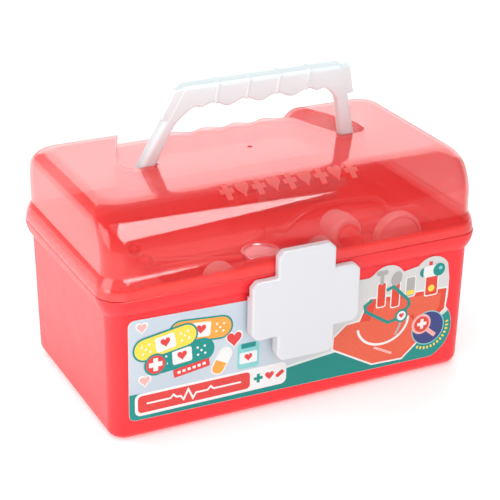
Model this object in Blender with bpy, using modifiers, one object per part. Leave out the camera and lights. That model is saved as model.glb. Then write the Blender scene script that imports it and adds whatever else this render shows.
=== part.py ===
# Toy doctor case: red base, clear red lid, carry handle, cross latch and a tray of play tools.
# Frame: X runs along the front, Y runs to the back, Z is up, origin under the middle of the base.

import math

import bmesh
import bpy
from mathutils import Matrix, Vector

mm = 0.001

# Whole case
flange_width = 250.0 * mm
flange_depth = 149.0 * mm
seam_height = 93.6 * mm
lid_rise = 49.4 * mm
seam_gap = 0.3 * mm
touch_gap = 0.3 * mm
cut_overrun = 6.0 * mm
weld_distance = 0.004 * mm

# Flange that runs round the seam, half on the base and half on the lid
flange_reach = 12.0 * mm
base_flange_proud = 4.3 * mm
lid_flange_proud = 3.7 * mm
flange_steps = 5

# Base tub
base_wall = 2.2 * mm
base_floor = 2.4 * mm
base_taper_side = 1.0 * mm
base_taper_front = 1.9 * mm
base_foot_radius = 6.0 * mm
base_corner_radius = 10.5 * mm
foot_steps = 4
corner_steps = 5
tray_ledge_width = 60.0 * mm
tray_ledge_depth = 4.0 * mm
tray_ledge_height = 5.0 * mm

# Lid shell
lid_wall = 1.8 * mm
lid_front_radius = 27.5 * mm
lid_back_radius = 20.8 * mm
lid_end_radius = 11.0 * mm
lid_corner_radius = 12.5 * mm
shoulder_steps = 8

# Handle recess in the lid
recess_depth = 11.9 * mm
recess_front_side_gap = 7.0 * mm
recess_straight_length = 17.0 * mm
recess_back_side_gap = 4.0 * mm
recess_corner_radius = 8.0 * mm
island_grip_gap = 5.0 * mm

# Raised plus signs and hearts in a row on the lid's front shoulder
motif_count = 9
motif_pitch = 10.2 * mm
motif_half_width = 4.2 * mm
motif_half_height = 6.2 * mm
motif_bar_share = 0.40
motif_proud = 0.8 * mm
motif_root = 1.35 * mm
motif_tilt = math.radians(23.6)

# Carry handle, in its own plane: x across, v up the legs from the pivot
handle_lean = math.radians(19.0)
handle_thickness = 8.0 * mm
handle_pivot_below_top = 6.0 * mm
handle_pivot_y = 3.0 * mm
handle_foot_inner = 64.5 * mm
handle_foot_width = 10.5 * mm
handle_shoulder_v = 35.0 * mm
handle_leg_inset = 10.5 * mm
handle_leg_width = 8.5 * mm
handle_corner_inset = 10.5 * mm
handle_top_v = 62.0 * mm
handle_corner_radius = 4.0 * mm
handle_neck_inset = 24.5 * mm
grip_middle_v = 45.5 * mm
grip_scallop = 2.0 * mm
grip_pitch = 21.0 * mm
grip_rib_proud = 0.7 * mm
grip_rib_width = 2.4 * mm
grip_rib_shares = (-1.43, -0.48, 0.48, 1.43)
handle_edge = 2.4 * mm
handle_block_proud = 3.2 * mm
handle_block_drop = 1.0 * mm
handle_block_foot_v = 39.0 * mm
handle_pin_radius = 2.4 * mm
handle_pin_length = 5.0 * mm
pin_bore_gap = 0.3 * mm

# Lid hinges
hinge_spacing = 140.0 * mm
hinge_radius = 4.0 * mm
hinge_standoff = 4.7 * mm
hinge_middle_length = 10.0 * mm
hinge_side_length = 7.0 * mm
hinge_pin_radius = 1.5 * mm
hinge_web = 3.2 * mm

# Cross latch
cross_span = 71.6 * mm
cross_arm = 38.0 * mm
cross_below_seam = 56.7 * mm
cross_front_proud = 5.2 * mm
cross_plate = 2.0 * mm
cross_skirt = 7.0 * mm
cross_skirt_wall = 2.0 * mm
cross_corner = 3.5 * mm
cross_edge = 1.3 * mm
edge_steps = 3
latch_pin_radius = 1.1 * mm
latch_barrel_radius = 2.4 * mm
latch_barrel_length = 11.0 * mm
latch_boss_length = 6.0 * mm
latch_boss_web = 1.5 * mm
latch_pivot_rise = 5.1 * mm
latch_flange_gap = 0.6 * mm
latch_heel_depth = 4.0 * mm

# Front label
label_thickness = 0.3 * mm
label_half_width = 110.0 * mm
label_bottom = 13.0 * mm
label_top_gap = 2.6 * mm
label_corner = 4.0 * mm
label_medal_radius = 21.5 * mm
label_medal_x = 88.0 * mm
label_medal_height = 30.5 * mm
label_lobe_radius = 13.0 * mm
label_lobe_gap = 0.4 * mm
label_lobe_shares = (0.55, 0.84)

# Tool tray
tray_side_gap = 0.6 * mm
tray_wall = 1.6 * mm
tray_floor = 1.6 * mm
tray_height = 11.0 * mm
tray_below_seam = 18.8 * mm
tray_corner_radius = 8.0 * mm

# Play tools on the tray
row_gap = 2.0 * mm
thermometer_length_share = 0.499
thermometer_width = 14.0 * mm
thermometer_thickness = 10.0 * mm
thermometer_bulb_radius = 10.0 * mm
thermometer_left_share = 0.80
thermometer_label_length = 26.0 * mm
thermometer_label_width = 8.0 * mm

hammer_handle_length_share = 0.447
hammer_handle_radius = 7.5 * mm
hammer_neck_radius = 4.0 * mm
hammer_head_radius = 8.5 * mm
hammer_head_length = 30.0 * mm
hammer_waist_share = 0.75
hammer_left_share = 0.245

otoscope_drum_radius = 11.0 * mm
otoscope_drum_length = 15.0 * mm
otoscope_rim_radius = 9.5 * mm
otoscope_rim_length = 5.0 * mm
otoscope_cone_length = 17.0 * mm
otoscope_cone_radius = 7.5 * mm
otoscope_tip_radius = 3.0 * mm
otoscope_handle_length_share = 0.404
otoscope_neck_radius = 5.0 * mm
otoscope_grip_radius = 8.0 * mm
otoscope_x_share = 0.46

chest_radius = 16.5 * mm
chest_thickness = 8.0 * mm
chest_sink = 6.5 * mm
chest_recess = 4.2 * mm
chest_lip = 2.6 * mm
chest_x_share = 0.70
button_thickness = 3.2 * mm
button_travel = 1.0 * mm
button_crown = 1.4 * mm

headset_tube_radius = 2.5 * mm
headset_length_share = 0.739
headset_half_width = 15.0 * mm
headset_yoke_x_share = 0.17
ear_tip_radius = 4.5 * mm
ear_tip_length = 8.0 * mm
stem_radius = 2.3 * mm
stem_clearance = 2.5 * mm
stem_steps = 34
headset_steps = 26

mirror_disc_radius = 12.5 * mm
mirror_disc_thickness = 5.0 * mm
mirror_handle_length_share = 0.482
mirror_handle_radius = 5.0 * mm
mirror_left_share = 0.62

syringe_barrel_radius = 9.0 * mm
syringe_bore_radius = 7.2 * mm
syringe_barrel_length_share = 0.516
syringe_nozzle_length = 9.0 * mm
syringe_nozzle_radius = 3.0 * mm
syringe_flange_half_width = 13.5 * mm
syringe_flange_half_height = 7.0 * mm
syringe_flange_thickness = 2.5 * mm
syringe_centre_share = 0.50
plunger_rod_radius = 3.2 * mm
plunger_head_length = 7.0 * mm
plunger_thumb_radius = 8.0 * mm
plunger_thumb_thickness = 2.5 * mm
plunger_stand_off = 14.0 * mm

# Sizes that follow from the ones above
flange_half_x = flange_width / 2
flange_half_y = flange_depth / 2
base_half_x = flange_half_x - base_flange_proud
base_half_y = flange_half_y - base_flange_proud
lid_half_x = flange_half_x - lid_flange_proud
lid_half_y = flange_half_y - lid_flange_proud
lid_top = seam_height + lid_rise
base_rim = seam_height - seam_gap / 2
lid_rim = seam_height + seam_gap / 2
flare_foot = seam_height - flange_reach
flare_head = seam_height + flange_reach
hinge_y = flange_half_y + hinge_standoff
handle_pivot_z = lid_top - handle_pivot_below_top
recess_floor = lid_top - recess_depth
handle_foot_outer = handle_foot_inner + handle_foot_width
handle_shoulder_inner = handle_foot_inner - handle_leg_inset
handle_shoulder_outer = handle_shoulder_inner + handle_leg_width
handle_corner_x = handle_foot_inner - handle_corner_inset
handle_neck_x = handle_foot_inner - handle_neck_inset
recess_front_half_width = handle_foot_outer + recess_front_side_gap
recess_back_half_width = handle_corner_x + recess_back_side_gap
recess_front_y = (handle_pivot_y - handle_thickness / 2 / math.cos(handle_lean)
                  - handle_pivot_below_top * math.tan(handle_lean) - touch_gap)
cross_front_y = -(flange_half_y + cross_front_proud)
cross_bottom_height = seam_height - cross_below_seam
cross_middle_height = cross_bottom_height + cross_span / 2
latch_pivot_height = cross_bottom_height + latch_pivot_rise
latch_pivot_y = cross_front_y + cross_plate + touch_gap + latch_barrel_radius
label_top = flare_foot - label_top_gap
label_lobe_top = flare_foot - label_lobe_gap
tray_floor_height = seam_height - tray_below_seam
tray_half_x = base_half_x - base_wall - tray_side_gap
tray_half_y = base_half_y - base_wall - tray_side_gap
deck = tray_floor_height + tray_floor + touch_gap
deck_half_x = tray_half_x - tray_wall
deck_half_y = tray_half_y - tray_wall
syringe_barrel_length = syringe_barrel_length_share * deck_half_x
mirror_handle_length = mirror_handle_length_share * deck_half_x
headset_length = headset_length_share * deck_half_x
otoscope_handle_length = otoscope_handle_length_share * deck_half_x
hammer_handle_length = hammer_handle_length_share * deck_half_x
thermometer_length = thermometer_length_share * deck_half_x


def make_collection(name):
    collection = bpy.data.collections.new(name)
    bpy.context.scene.collection.children.link(collection)
    return collection


def clear_scene():
    for item in list(bpy.data.objects):
        bpy.data.objects.remove(item)
    for collection in list(bpy.data.collections):
        bpy.data.collections.remove(collection)


def plastic(name, colour, roughness, alpha=1.0):
    material = bpy.data.materials.new(name)
    material.use_nodes = True
    shader = material.node_tree.nodes["Principled BSDF"]
    shader.inputs["Base Color"].default_value = (*colour, 1.0)
    shader.inputs["Roughness"].default_value = roughness
    shader.inputs["Alpha"].default_value = alpha
    shader.inputs["Metallic"].default_value = 0.0
    return material


def object_from_bmesh(name, bm, collection):
    bmesh.ops.recalc_face_normals(bm, faces=bm.faces)
    mesh = bpy.data.meshes.new(name)
    bm.to_mesh(mesh)
    bm.free()
    item = bpy.data.objects.new(name, mesh)
    collection.objects.link(item)
    return item


def evaluated_mesh(item):
    bpy.context.view_layer.update()
    graph = bpy.context.evaluated_depsgraph_get()
    return bpy.data.meshes.new_from_object(item.evaluated_get(graph))


def combine(target, other, operation):
    # Joins or cuts one solid with another and leaves the result in the first one
    step = target.modifiers.new(operation.lower(), "BOOLEAN")
    step.operation = operation
    step.solver = "EXACT"
    step.object = other
    mesh = evaluated_mesh(target)
    target.modifiers.clear()
    target.data = mesh
    bpy.data.objects.remove(other)
    return target


def loft(name, rings, collection):
    # Skins a stack of rings that have the same number of points, with a flat cap at each end
    bm = bmesh.new()
    rows = [[bm.verts.new(point) for point in ring] for ring in rings]
    count = len(rings[0])
    for lower, upper in zip(rows, rows[1:]):
        for i in range(count):
            j = (i + 1) % count
            bm.faces.new((lower[i], lower[j], upper[j], upper[i]))
    bm.faces.new(list(reversed(rows[0])))
    bm.faces.new(rows[-1])
    return object_from_bmesh(name, bm, collection)


def rounded_ring(half_x, front, back, radius, z):
    # Rounded rectangle at height z, front edge at y = -front and back edge at y = back
    points = []
    corners = ((half_x, back, 0.0), (-half_x, back, 90.0), (-half_x, -front, 180.0), (half_x, -front, 270.0))
    for x, y, start in corners:
        centre_x = x - math.copysign(radius, x)
        centre_y = y - math.copysign(radius, y)
        for step in range(corner_steps + 1):
            angle = math.radians(start + 90.0 * step / corner_steps)
            points.append(Vector((centre_x + radius * math.cos(angle), centre_y + radius * math.sin(angle), z)))
    return points


def box(name, low, high, collection):
    bm = bmesh.new()
    bmesh.ops.create_cube(bm, size=1.0)
    size = [b - a for a, b in zip(low, high)]
    centre = [(a + b) / 2 for a, b in zip(low, high)]
    bmesh.ops.scale(bm, vec=size, verts=bm.verts)
    bmesh.ops.translate(bm, vec=centre, verts=bm.verts)
    return object_from_bmesh(name, bm, collection)


def rod_along_x(name, radius, start, end, y, z, collection, segments=20):
    bm = bmesh.new()
    bmesh.ops.create_cone(bm, cap_ends=True, segments=segments, radius1=radius, radius2=radius,
                          depth=end - start)
    bmesh.ops.rotate(bm, verts=bm.verts, matrix=Matrix.Rotation(math.radians(90.0), 3, "Y"))
    bmesh.ops.translate(bm, vec=((start + end) / 2, y, z), verts=bm.verts)
    return object_from_bmesh(name, bm, collection)


def plate(name, outline, thickness, place, collection):
    # Flat outline given as (x, y) pairs, thickened evenly about its plane and moved by a matrix
    half = thickness / 2
    rings = [[place @ Vector((x, y, z)) for x, y in outline] for z in (-half, half)]
    return loft(name, rings, collection)


def turned(name, profile, steps, place, collection):
    # Solid of revolution from (radius, height) pairs that run from the top of the axis to its bottom
    mesh = bpy.data.meshes.new(name)
    points = [(radius, 0.0, height) for radius, height in profile]
    mesh.from_pydata(points, [(i, i + 1) for i in range(len(points) - 1)], [])
    item = bpy.data.objects.new(name, mesh)
    collection.objects.link(item)
    screw = item.modifiers.new("turn", "SCREW")
    screw.steps = steps
    screw.render_steps = steps
    screw.use_merge_vertices = True
    screw.merge_threshold = weld_distance
    solid = evaluated_mesh(item)
    item.modifiers.clear()
    bm = bmesh.new()
    bm.from_mesh(solid)
    bmesh.ops.transform(bm, matrix=place, verts=bm.verts)
    bmesh.ops.recalc_face_normals(bm, faces=bm.faces)
    bm.to_mesh(solid)
    bm.free()
    item.data = solid
    return item


def smooth_path(points, count):
    # Reads evenly spaced places from a smooth curve through the given points
    knots = [points[0]] + list(points) + [points[-1]]
    places = []
    spans = len(points) - 1
    for i in range(count):
        position = i * spans / (count - 1)
        span = min(int(position), spans - 1)
        t = position - span
        a, b, c, d = (Vector(k) for k in knots[span:span + 4])
        places.append(((2 * b) + (c - a) * t + (2 * a - 5 * b + 4 * c - d) * t ** 2
                       + (3 * b - a - 3 * c + d) * t ** 3) / 2)
    return places


def tube(name, points, radius, collection):
    curve = bpy.data.curves.new(name, "CURVE")
    curve.dimensions = "3D"
    curve.bevel_depth = radius
    curve.bevel_resolution = 2
    curve.use_fill_caps = True
    spline = curve.splines.new("POLY")
    spline.points.add(len(points) - 1)
    for point, place in zip(spline.points, points):
        point.co = (*place, 1.0)
    guide = bpy.data.objects.new(name + "_route", curve)
    collection.objects.link(guide)
    mesh = evaluated_mesh(guide)
    bpy.data.objects.remove(guide)
    bm = bmesh.new()
    bm.from_mesh(mesh)
    bmesh.ops.remove_doubles(bm, verts=bm.verts, dist=weld_distance)
    return object_from_bmesh(name, bm, collection)


def bevel_edges(item, width, segments, least_angle):
    rounding = item.modifiers.new("rounding", "BEVEL")
    rounding.width = width
    rounding.segments = segments
    rounding.limit_method = "ANGLE"
    rounding.angle_limit = math.radians(least_angle)
    rounding.use_clamp_overlap = True
    mesh = evaluated_mesh(item)
    item.modifiers.clear()
    item.data = mesh


def finish(item, material, origin, parent):
    # Gives a piece its material, its origin and the empty that carries it
    item.data.materials.clear()
    item.data.materials.append(material)
    item.data.transform(Matrix.Translation(-Vector(origin)))
    item.location = Vector(origin)
    item.parent = parent
    bpy.context.view_layer.update()
    item.matrix_parent_inverse = parent.matrix_world.inverted()
    item.data.shade_smooth()
    item.data.set_sharp_from_angle(angle=math.radians(30.0))
    return item


def axis_empty(name, place, collection, parent=None):
    empty = bpy.data.objects.new(name, None)
    collection.objects.link(empty)
    empty.location = place
    bpy.context.view_layer.update()
    if parent is not None:
        empty.parent = parent
        empty.matrix_parent_inverse = parent.matrix_world.inverted()
        bpy.context.view_layer.update()
    return empty


def flare(proud, height_from_seam):
    # Convex bulge of the flange: a circle's arc that leaves the wall one flange reach from the seam
    if height_from_seam >= flange_reach:
        return 0.0
    radius = (flange_reach ** 2 + proud ** 2) / (2 * proud)
    return math.sqrt(radius ** 2 - height_from_seam ** 2) - (radius - proud)


def base_ring(z, inset, corner):
    # Section of the base at height z, moved inwards by the inset
    bulge = flare(base_flange_proud, max(seam_height - z, 0.0)) if z > flare_foot else 0.0
    rise = min(z, flare_foot) / flare_foot
    side = base_half_x - base_taper_side * (1 - rise) + bulge - inset
    front = base_half_y - base_taper_front * (1 - rise) + bulge - inset
    return rounded_ring(side, front, front, max(corner + bulge - inset, corner / 4), z)


def base_tub(parts, cutters):
    rings = []
    for step in range(foot_steps + 1):
        angle = math.radians(90.0 * step / foot_steps)
        inset = base_foot_radius * (1 - math.sin(angle))
        rings.append(base_ring(base_foot_radius * (1 - math.cos(angle)), inset, base_corner_radius))
    flare_height = base_rim - flare_foot
    flare_heights = [flare_foot + flare_height * step / flange_steps for step in range(flange_steps + 1)]
    rings += [base_ring(z, 0.0, base_corner_radius) for z in flare_heights]
    rings += [base_ring(z, base_wall, base_corner_radius) for z in reversed(flare_heights)]
    inner_foot = base_floor + base_foot_radius - base_wall
    for step in range(foot_steps, -1, -1):
        angle = math.radians(90.0 * step / foot_steps)
        inset = base_wall + (base_foot_radius - base_wall) * (1 - math.sin(angle))
        z = inner_foot - (base_foot_radius - base_wall) * math.cos(angle)
        rings.append(base_ring(z, inset, base_corner_radius))
    tub = loft("base_tub", rings, parts)

    for side in (-1, 1):
        inner = base_half_x - base_wall - tray_ledge_depth
        outer = base_half_x - base_wall / 2
        low_x, high_x = sorted((side * inner, side * outer))
        top = tray_floor_height - touch_gap
        ledge = box("tray_ledge", (low_x, -tray_ledge_width / 2, top - tray_ledge_height),
                    (high_x, tray_ledge_width / 2, top), cutters)
        combine(tub, ledge, "UNION")

    for side in (-1, 1):
        middle = side * hinge_spacing / 2
        low_x = middle - hinge_middle_length / 2
        high_x = middle + hinge_middle_length / 2
        web = box("hinge_web", (low_x, flange_half_y - base_wall, base_rim - hinge_web),
                  (high_x, hinge_y, base_rim), cutters)
        combine(tub, web, "UNION")
        knuckle = rod_along_x("knuckle", hinge_radius, low_x, high_x, hinge_y, seam_height, cutters)
        combine(tub, knuckle, "UNION")
        combine(tub, rod_along_x("bore", hinge_pin_radius + pin_bore_gap, low_x - cut_overrun,
                                 high_x + cut_overrun, hinge_y, seam_height, cutters), "DIFFERENCE")

    taper = base_taper_front * (1 - latch_pivot_height / flare_foot)
    wall_y = -(base_half_y - taper - base_wall / 2)
    for side in (-1, 1):
        near = latch_barrel_length / 2 + touch_gap
        far = near + latch_boss_length
        low_x, high_x = sorted((side * near, side * far))
        web = box("boss_web", (low_x, latch_pivot_y, latch_pivot_height - latch_boss_web),
                  (high_x, wall_y, latch_pivot_height + latch_boss_web), cutters)
        combine(tub, web, "UNION")
        combine(tub, rod_along_x("boss", latch_barrel_radius, low_x, high_x, latch_pivot_y,
                                 latch_pivot_height, cutters, 16), "UNION")
        combine(tub, rod_along_x("bore", latch_pin_radius + pin_bore_gap, low_x - cut_overrun,
                                 high_x + cut_overrun, latch_pivot_y, latch_pivot_height, cutters, 16),
                "DIFFERENCE")
    return tub


def lid_ring(z, inset):
    # Section of the lid at height z: flared below, rounded into the flat top above
    bulge = flare(lid_flange_proud, max(z - seam_height, 0.0))
    top = lid_top - inset

    def tuck(radius):
        rounding = radius - inset
        above = z - (top - rounding)
        if above <= 0:
            return 0.0
        return rounding - math.sqrt(max(rounding ** 2 - above ** 2, 0.0))

    side = lid_half_x + bulge - inset - tuck(lid_end_radius)
    front = lid_half_y + bulge - inset - tuck(lid_front_radius)
    back = lid_half_y + bulge - inset - tuck(lid_back_radius)
    return rounded_ring(side, front, back, lid_corner_radius + bulge - inset, z)


def lid_solid(name, bottom, inset, collection):
    spring = lid_top - lid_front_radius
    heights = [bottom] if bottom < lid_rim else []
    heights += [lid_rim + (flare_head - lid_rim) * step / flange_steps for step in range(flange_steps + 1)]
    for step in range(shoulder_steps + 1):
        angle = math.radians(90.0 * step / shoulder_steps)
        heights.append(spring + (lid_front_radius - inset) * math.sin(angle))
    return loft(name, [lid_ring(z, inset) for z in heights], collection)


def recess_half_outline(growth):
    # Right half of the U-shaped recess, from the island's middle round to the open back
    pivot_to_grip = grip_middle_v + handle_pivot_y
    island_back = pivot_to_grip - grip_scallop - island_grip_gap
    slope = (handle_foot_inner - handle_shoulder_inner) / handle_shoulder_v
    points = []
    scallop_steps = 14
    island_corner = handle_neck_x
    for step in range(scallop_steps + 1):
        x = island_corner * step / scallop_steps
        y = island_back - grip_scallop * math.cos(2 * math.pi * x / grip_pitch) - growth
        points.append((x, y))
    neck = handle_foot_inner - slope * (island_back - handle_pivot_y)
    side_gap = handle_pin_length / 2 - growth
    points.append((neck - 3 * side_gap - 2 * growth, island_back - grip_scallop - growth))
    points.append((neck - side_gap - 2 * growth, island_back - 3 * grip_scallop - growth))
    points.append((handle_foot_inner - side_gap - 2 * growth, handle_pivot_y - growth))
    points.append((handle_foot_inner - side_gap - 2 * growth, recess_front_y - growth))
    radius = recess_corner_radius + growth
    outer = recess_front_half_width + growth
    for step in range(corner_steps + 1):
        angle = math.radians(-90.0 + 90.0 * step / corner_steps)
        points.append((outer - radius + radius * math.cos(angle),
                       recess_front_y - growth + radius + radius * math.sin(angle)))
    points.append((outer, recess_front_y + recess_straight_length))
    back = recess_back_half_width + growth
    points.append((back, lid_half_y))
    points.append((back, lid_half_y + cut_overrun + growth))
    return points


def recess_prism(name, growth, collection):
    half = recess_half_outline(growth)
    outline = half + [(-x, y) for x, y in reversed(half[1:])]
    low = recess_floor - growth
    high = lid_top + cut_overrun
    place = Matrix.Translation((0.0, 0.0, (low + high) / 2))
    return plate(name, outline, high - low, place, collection)


def motif_outline(is_heart):
    # One plus sign or heart as (x, up the slope) pairs
    wide = motif_half_width
    high = motif_half_height
    bar = motif_half_width * motif_bar_share
    if not is_heart:
        return [(wide, -bar), (wide, bar), (bar, bar), (bar, high), (-bar, high), (-bar, bar), (-wide, bar),
                (-wide, -bar), (-bar, -bar), (-bar, -high), (bar, -high), (bar, -bar)]
    half = [(0.0, -high), (wide * 0.55, -high * 0.35), (wide, high * 0.25), (wide * 0.92, high * 0.68),
            (wide * 0.55, high * 0.92), (wide * 0.18, high * 0.78)]
    return half + [(0.0, high * 0.45)] + [(-x, h) for x, h in reversed(half[1:])]


def add_motifs(lid, cutters):
    spring_y = -(lid_half_y - lid_front_radius)
    spring_z = lid_top - lid_front_radius
    low = lid_front_radius - motif_root
    high = lid_front_radius + cut_overrun
    middle = (low + high) / 2
    for i in range(motif_count):
        x = (i - (motif_count - 1) / 2) * motif_pitch
        place = (Matrix.Translation((x, spring_y, spring_z)) @ Matrix.Rotation(motif_tilt, 4, "X")
                 @ Matrix.Translation((0.0, 0.0, middle)))
        motif = plate("motif", motif_outline(i % 2 == 1), high - low, place, cutters)
        combine(motif, lid_solid("motif_skin", lid_rim, -motif_proud, cutters), "INTERSECT")
        combine(lid, motif, "UNION")


def lid_shell(parts, cutters):
    lid = lid_solid("lid_shell", lid_rim, 0.0, parts)
    combine(lid, recess_prism("recess", 0.0, cutters), "DIFFERENCE")
    hollow = lid_solid("lid_hollow", lid_rim - cut_overrun, lid_wall, cutters)
    combine(hollow, recess_prism("recess_wall", lid_wall, cutters), "DIFFERENCE")
    combine(lid, hollow, "DIFFERENCE")
    add_motifs(lid, cutters)

    bore = handle_pin_radius + pin_bore_gap
    reach = handle_foot_inner - handle_pin_length - lid_wall
    for side in (-1, 1):
        low_x, high_x = sorted((side * reach, side * (handle_foot_inner + touch_gap)))
        combine(lid, rod_along_x("pin_bore", bore, low_x, high_x, handle_pivot_y, handle_pivot_z, cutters, 16),
                "DIFFERENCE")

    for side in (-1, 1):
        for end in (-1, 1):
            near = side * hinge_spacing / 2 + end * (hinge_middle_length / 2 + touch_gap)
            far = near + end * hinge_side_length
            low_x, high_x = sorted((near, far))
            web = box("hinge_web", (low_x, flange_half_y - lid_wall, lid_rim),
                      (high_x, hinge_y, lid_rim + hinge_web), cutters)
            combine(lid, web, "UNION")
            knuckle = rod_along_x("knuckle", hinge_radius, low_x, high_x, hinge_y, seam_height, cutters)
            combine(lid, knuckle, "UNION")
            combine(lid, rod_along_x("bore", hinge_pin_radius + pin_bore_gap, low_x - cut_overrun,
                                     high_x + cut_overrun, hinge_y, seam_height, cutters), "DIFFERENCE")
    return lid


def handle_half_outline():
    # Right half of the handle in its own plane, from the middle of the grip's underside round to its top
    points = []
    scallop_steps = 16
    for step in range(scallop_steps + 1):
        x = (handle_neck_x - grip_scallop) * step / scallop_steps
        points.append((x, grip_middle_v - grip_scallop * math.cos(2 * math.pi * x / grip_pitch)))
    points.append((handle_neck_x + 2 * grip_scallop, grip_middle_v + grip_scallop / 2))
    points.append((handle_shoulder_inner - 2 * grip_scallop, (grip_middle_v + handle_shoulder_v) / 2))
    points.append((handle_shoulder_inner, handle_shoulder_v))
    points.append((handle_foot_inner, 0.0))
    points.append((handle_foot_outer, 0.0))
    points.append((handle_shoulder_outer, handle_shoulder_v))
    for step in range(4):
        angle = math.radians(15.0 + 25.0 * step)
        points.append((handle_corner_x - handle_corner_radius * (1 - math.cos(angle)),
                       handle_top_v - handle_corner_radius * (1 - math.sin(angle))))
    return points


def carry_handle(parts, cutters):
    half = handle_half_outline()
    outline = half + [(-x, v) for x, v in reversed(half[1:])]
    upright = Matrix.Rotation(math.radians(90.0), 4, "X")
    handle = plate("carry_handle", outline, handle_thickness, upright, parts)
    bevel_edges(handle, handle_edge, 3, 50.0)

    half_thick = handle_thickness / 2
    for side in (-1, 1):
        low_x, high_x = sorted((side * handle_foot_inner, side * handle_foot_outer))
        foot = rod_along_x("foot", half_thick, low_x, high_x, 0.0, 0.0, cutters)
        combine(handle, foot, "UNION")
        pin_end = handle_foot_inner - handle_pin_length
        low_x, high_x = sorted((side * pin_end, side * (handle_foot_inner + handle_edge)))
        combine(handle, rod_along_x("pin", handle_pin_radius, low_x, high_x, 0.0, 0.0, cutters, 16), "UNION")

    slope = (handle_shoulder_outer - handle_corner_x) / (handle_top_v - handle_shoulder_v)
    for side in (-1, 1):
        def leg_edge(v):
            return handle_shoulder_outer - slope * (v - handle_shoulder_v)
        low = handle_block_foot_v
        high = handle_top_v - handle_block_drop
        corners = [(leg_edge(low) - handle_edge, low), (leg_edge(low) + handle_block_proud, low),
                   (leg_edge(high) + handle_block_proud, high), (leg_edge(high) - handle_edge, high)]
        block = plate("corner_block", [(side * x, v) for x, v in corners], half_thick,
                      Matrix.Translation((0.0, touch_gap - half_thick / 2, 0.0)) @ upright, cutters)
        combine(handle, block, "UNION")

    for share in grip_rib_shares:
        middle = share * grip_pitch
        low_v = grip_middle_v + grip_scallop
        ribs = box("grip_rib", (middle - grip_rib_width / 2, -half_thick - grip_rib_proud, low_v),
                   (middle + grip_rib_width / 2, half_thick - touch_gap, handle_top_v + grip_rib_proud),
                   cutters)
        combine(handle, ribs, "UNION")

    handle.data.transform(Matrix.Translation((0.0, handle_pivot_y, handle_pivot_z))
                          @ Matrix.Rotation(handle_lean, 4, "X"))
    return handle


def cross_ring(inset, y):
    # Cross with slanted corners in the plane at this y, moved inwards by the inset
    arm = cross_arm / 2 - inset
    span = cross_span / 2 - inset
    cut = cross_corner - inset * (2 - math.sqrt(2.0))
    quarter = [(span, arm - cut), (span - cut, arm), (arm, arm), (arm, span - cut), (arm - cut, span)]
    points = []
    for turn in range(4):
        angle = math.radians(90.0 * turn)
        for x, h in quarter:
            points.append(Vector((x * math.cos(angle) - h * math.sin(angle), y,
                                  x * math.sin(angle) + h * math.cos(angle) + cross_middle_height)))
    return points


def latch_cross(parts, cutters):
    rear = cross_front_y + cross_skirt
    rings = [cross_ring(0.0, rear), cross_ring(0.0, cross_front_y + cross_edge)]
    for step in range(1, edge_steps + 1):
        angle = math.radians(90.0 * step / edge_steps)
        rings.append(cross_ring(cross_edge * (1 - math.cos(angle)),
                                cross_front_y + cross_edge * (1 - math.sin(angle))))
    latch = loft("latch_cross", rings, parts)
    hollow = [cross_ring(cross_skirt_wall, y) for y in (cross_front_y + cross_plate, rear + cut_overrun)]
    combine(latch, loft("cross_hollow", hollow, cutters), "DIFFERENCE")

    wide = cross_span
    behind = rear + cut_overrun
    flange_y = -(flange_half_y + latch_flange_gap)
    combine(latch, box("flange_relief", (-wide, flange_y, flare_foot - latch_flange_gap),
                       (wide, behind, cross_bottom_height + cross_span + cut_overrun), cutters), "DIFFERENCE")
    heel_relief = box("heel_relief", (-wide, cross_front_y + latch_heel_depth, cross_bottom_height - cut_overrun),
                      (wide, behind, latch_pivot_height), cutters)
    combine(latch, heel_relief, "DIFFERENCE")

    half_barrel = latch_barrel_length / 2
    plate_middle_y = cross_front_y + cross_plate / 2
    combine(latch, box("barrel_web", (-half_barrel, plate_middle_y, latch_pivot_height - latch_boss_web),
                       (half_barrel, latch_pivot_y, latch_pivot_height + latch_boss_web), cutters), "UNION")
    combine(latch, rod_along_x("barrel", latch_barrel_radius, -half_barrel, half_barrel, latch_pivot_y,
                               latch_pivot_height, cutters, 16), "UNION")
    combine(latch, rod_along_x("bore", latch_pin_radius + pin_bore_gap, -half_barrel - cut_overrun,
                               half_barrel + cut_overrun, latch_pivot_y, latch_pivot_height, cutters, 16),
            "DIFFERENCE")
    return latch


def label_outline():
    # Sticker with a round medal at its lower right and two lobes at its upper right, as (x, height) pairs
    points = []

    def arc(centre_x, centre_h, radius, start, end, count):
        for step in range(count + 1):
            angle = math.radians(start + (end - start) * step / count)
            points.append((centre_x + radius * math.cos(angle), centre_h + radius * math.sin(angle)))

    left = -label_half_width
    arc(left + label_corner, label_top - label_corner, label_corner, 180.0, 90.0, 4)
    lobe_height = label_lobe_top - label_lobe_radius
    points.append((label_lobe_shares[0] * label_half_width - label_lobe_radius, label_top - label_corner))
    for share in label_lobe_shares:
        arc(share * label_half_width, lobe_height, label_lobe_radius, 140.0, 30.0, 8)
    edge = label_lobe_shares[1] * label_half_width + label_lobe_radius
    points.append((edge, lobe_height - label_corner))
    points.append((edge, label_medal_height + label_medal_radius))
    arc(label_medal_x, label_medal_height, label_medal_radius, 40.0, -70.0, 10)
    arc(left + label_corner, label_bottom + label_corner, label_corner, 270.0, 180.0, 4)
    return points


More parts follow.
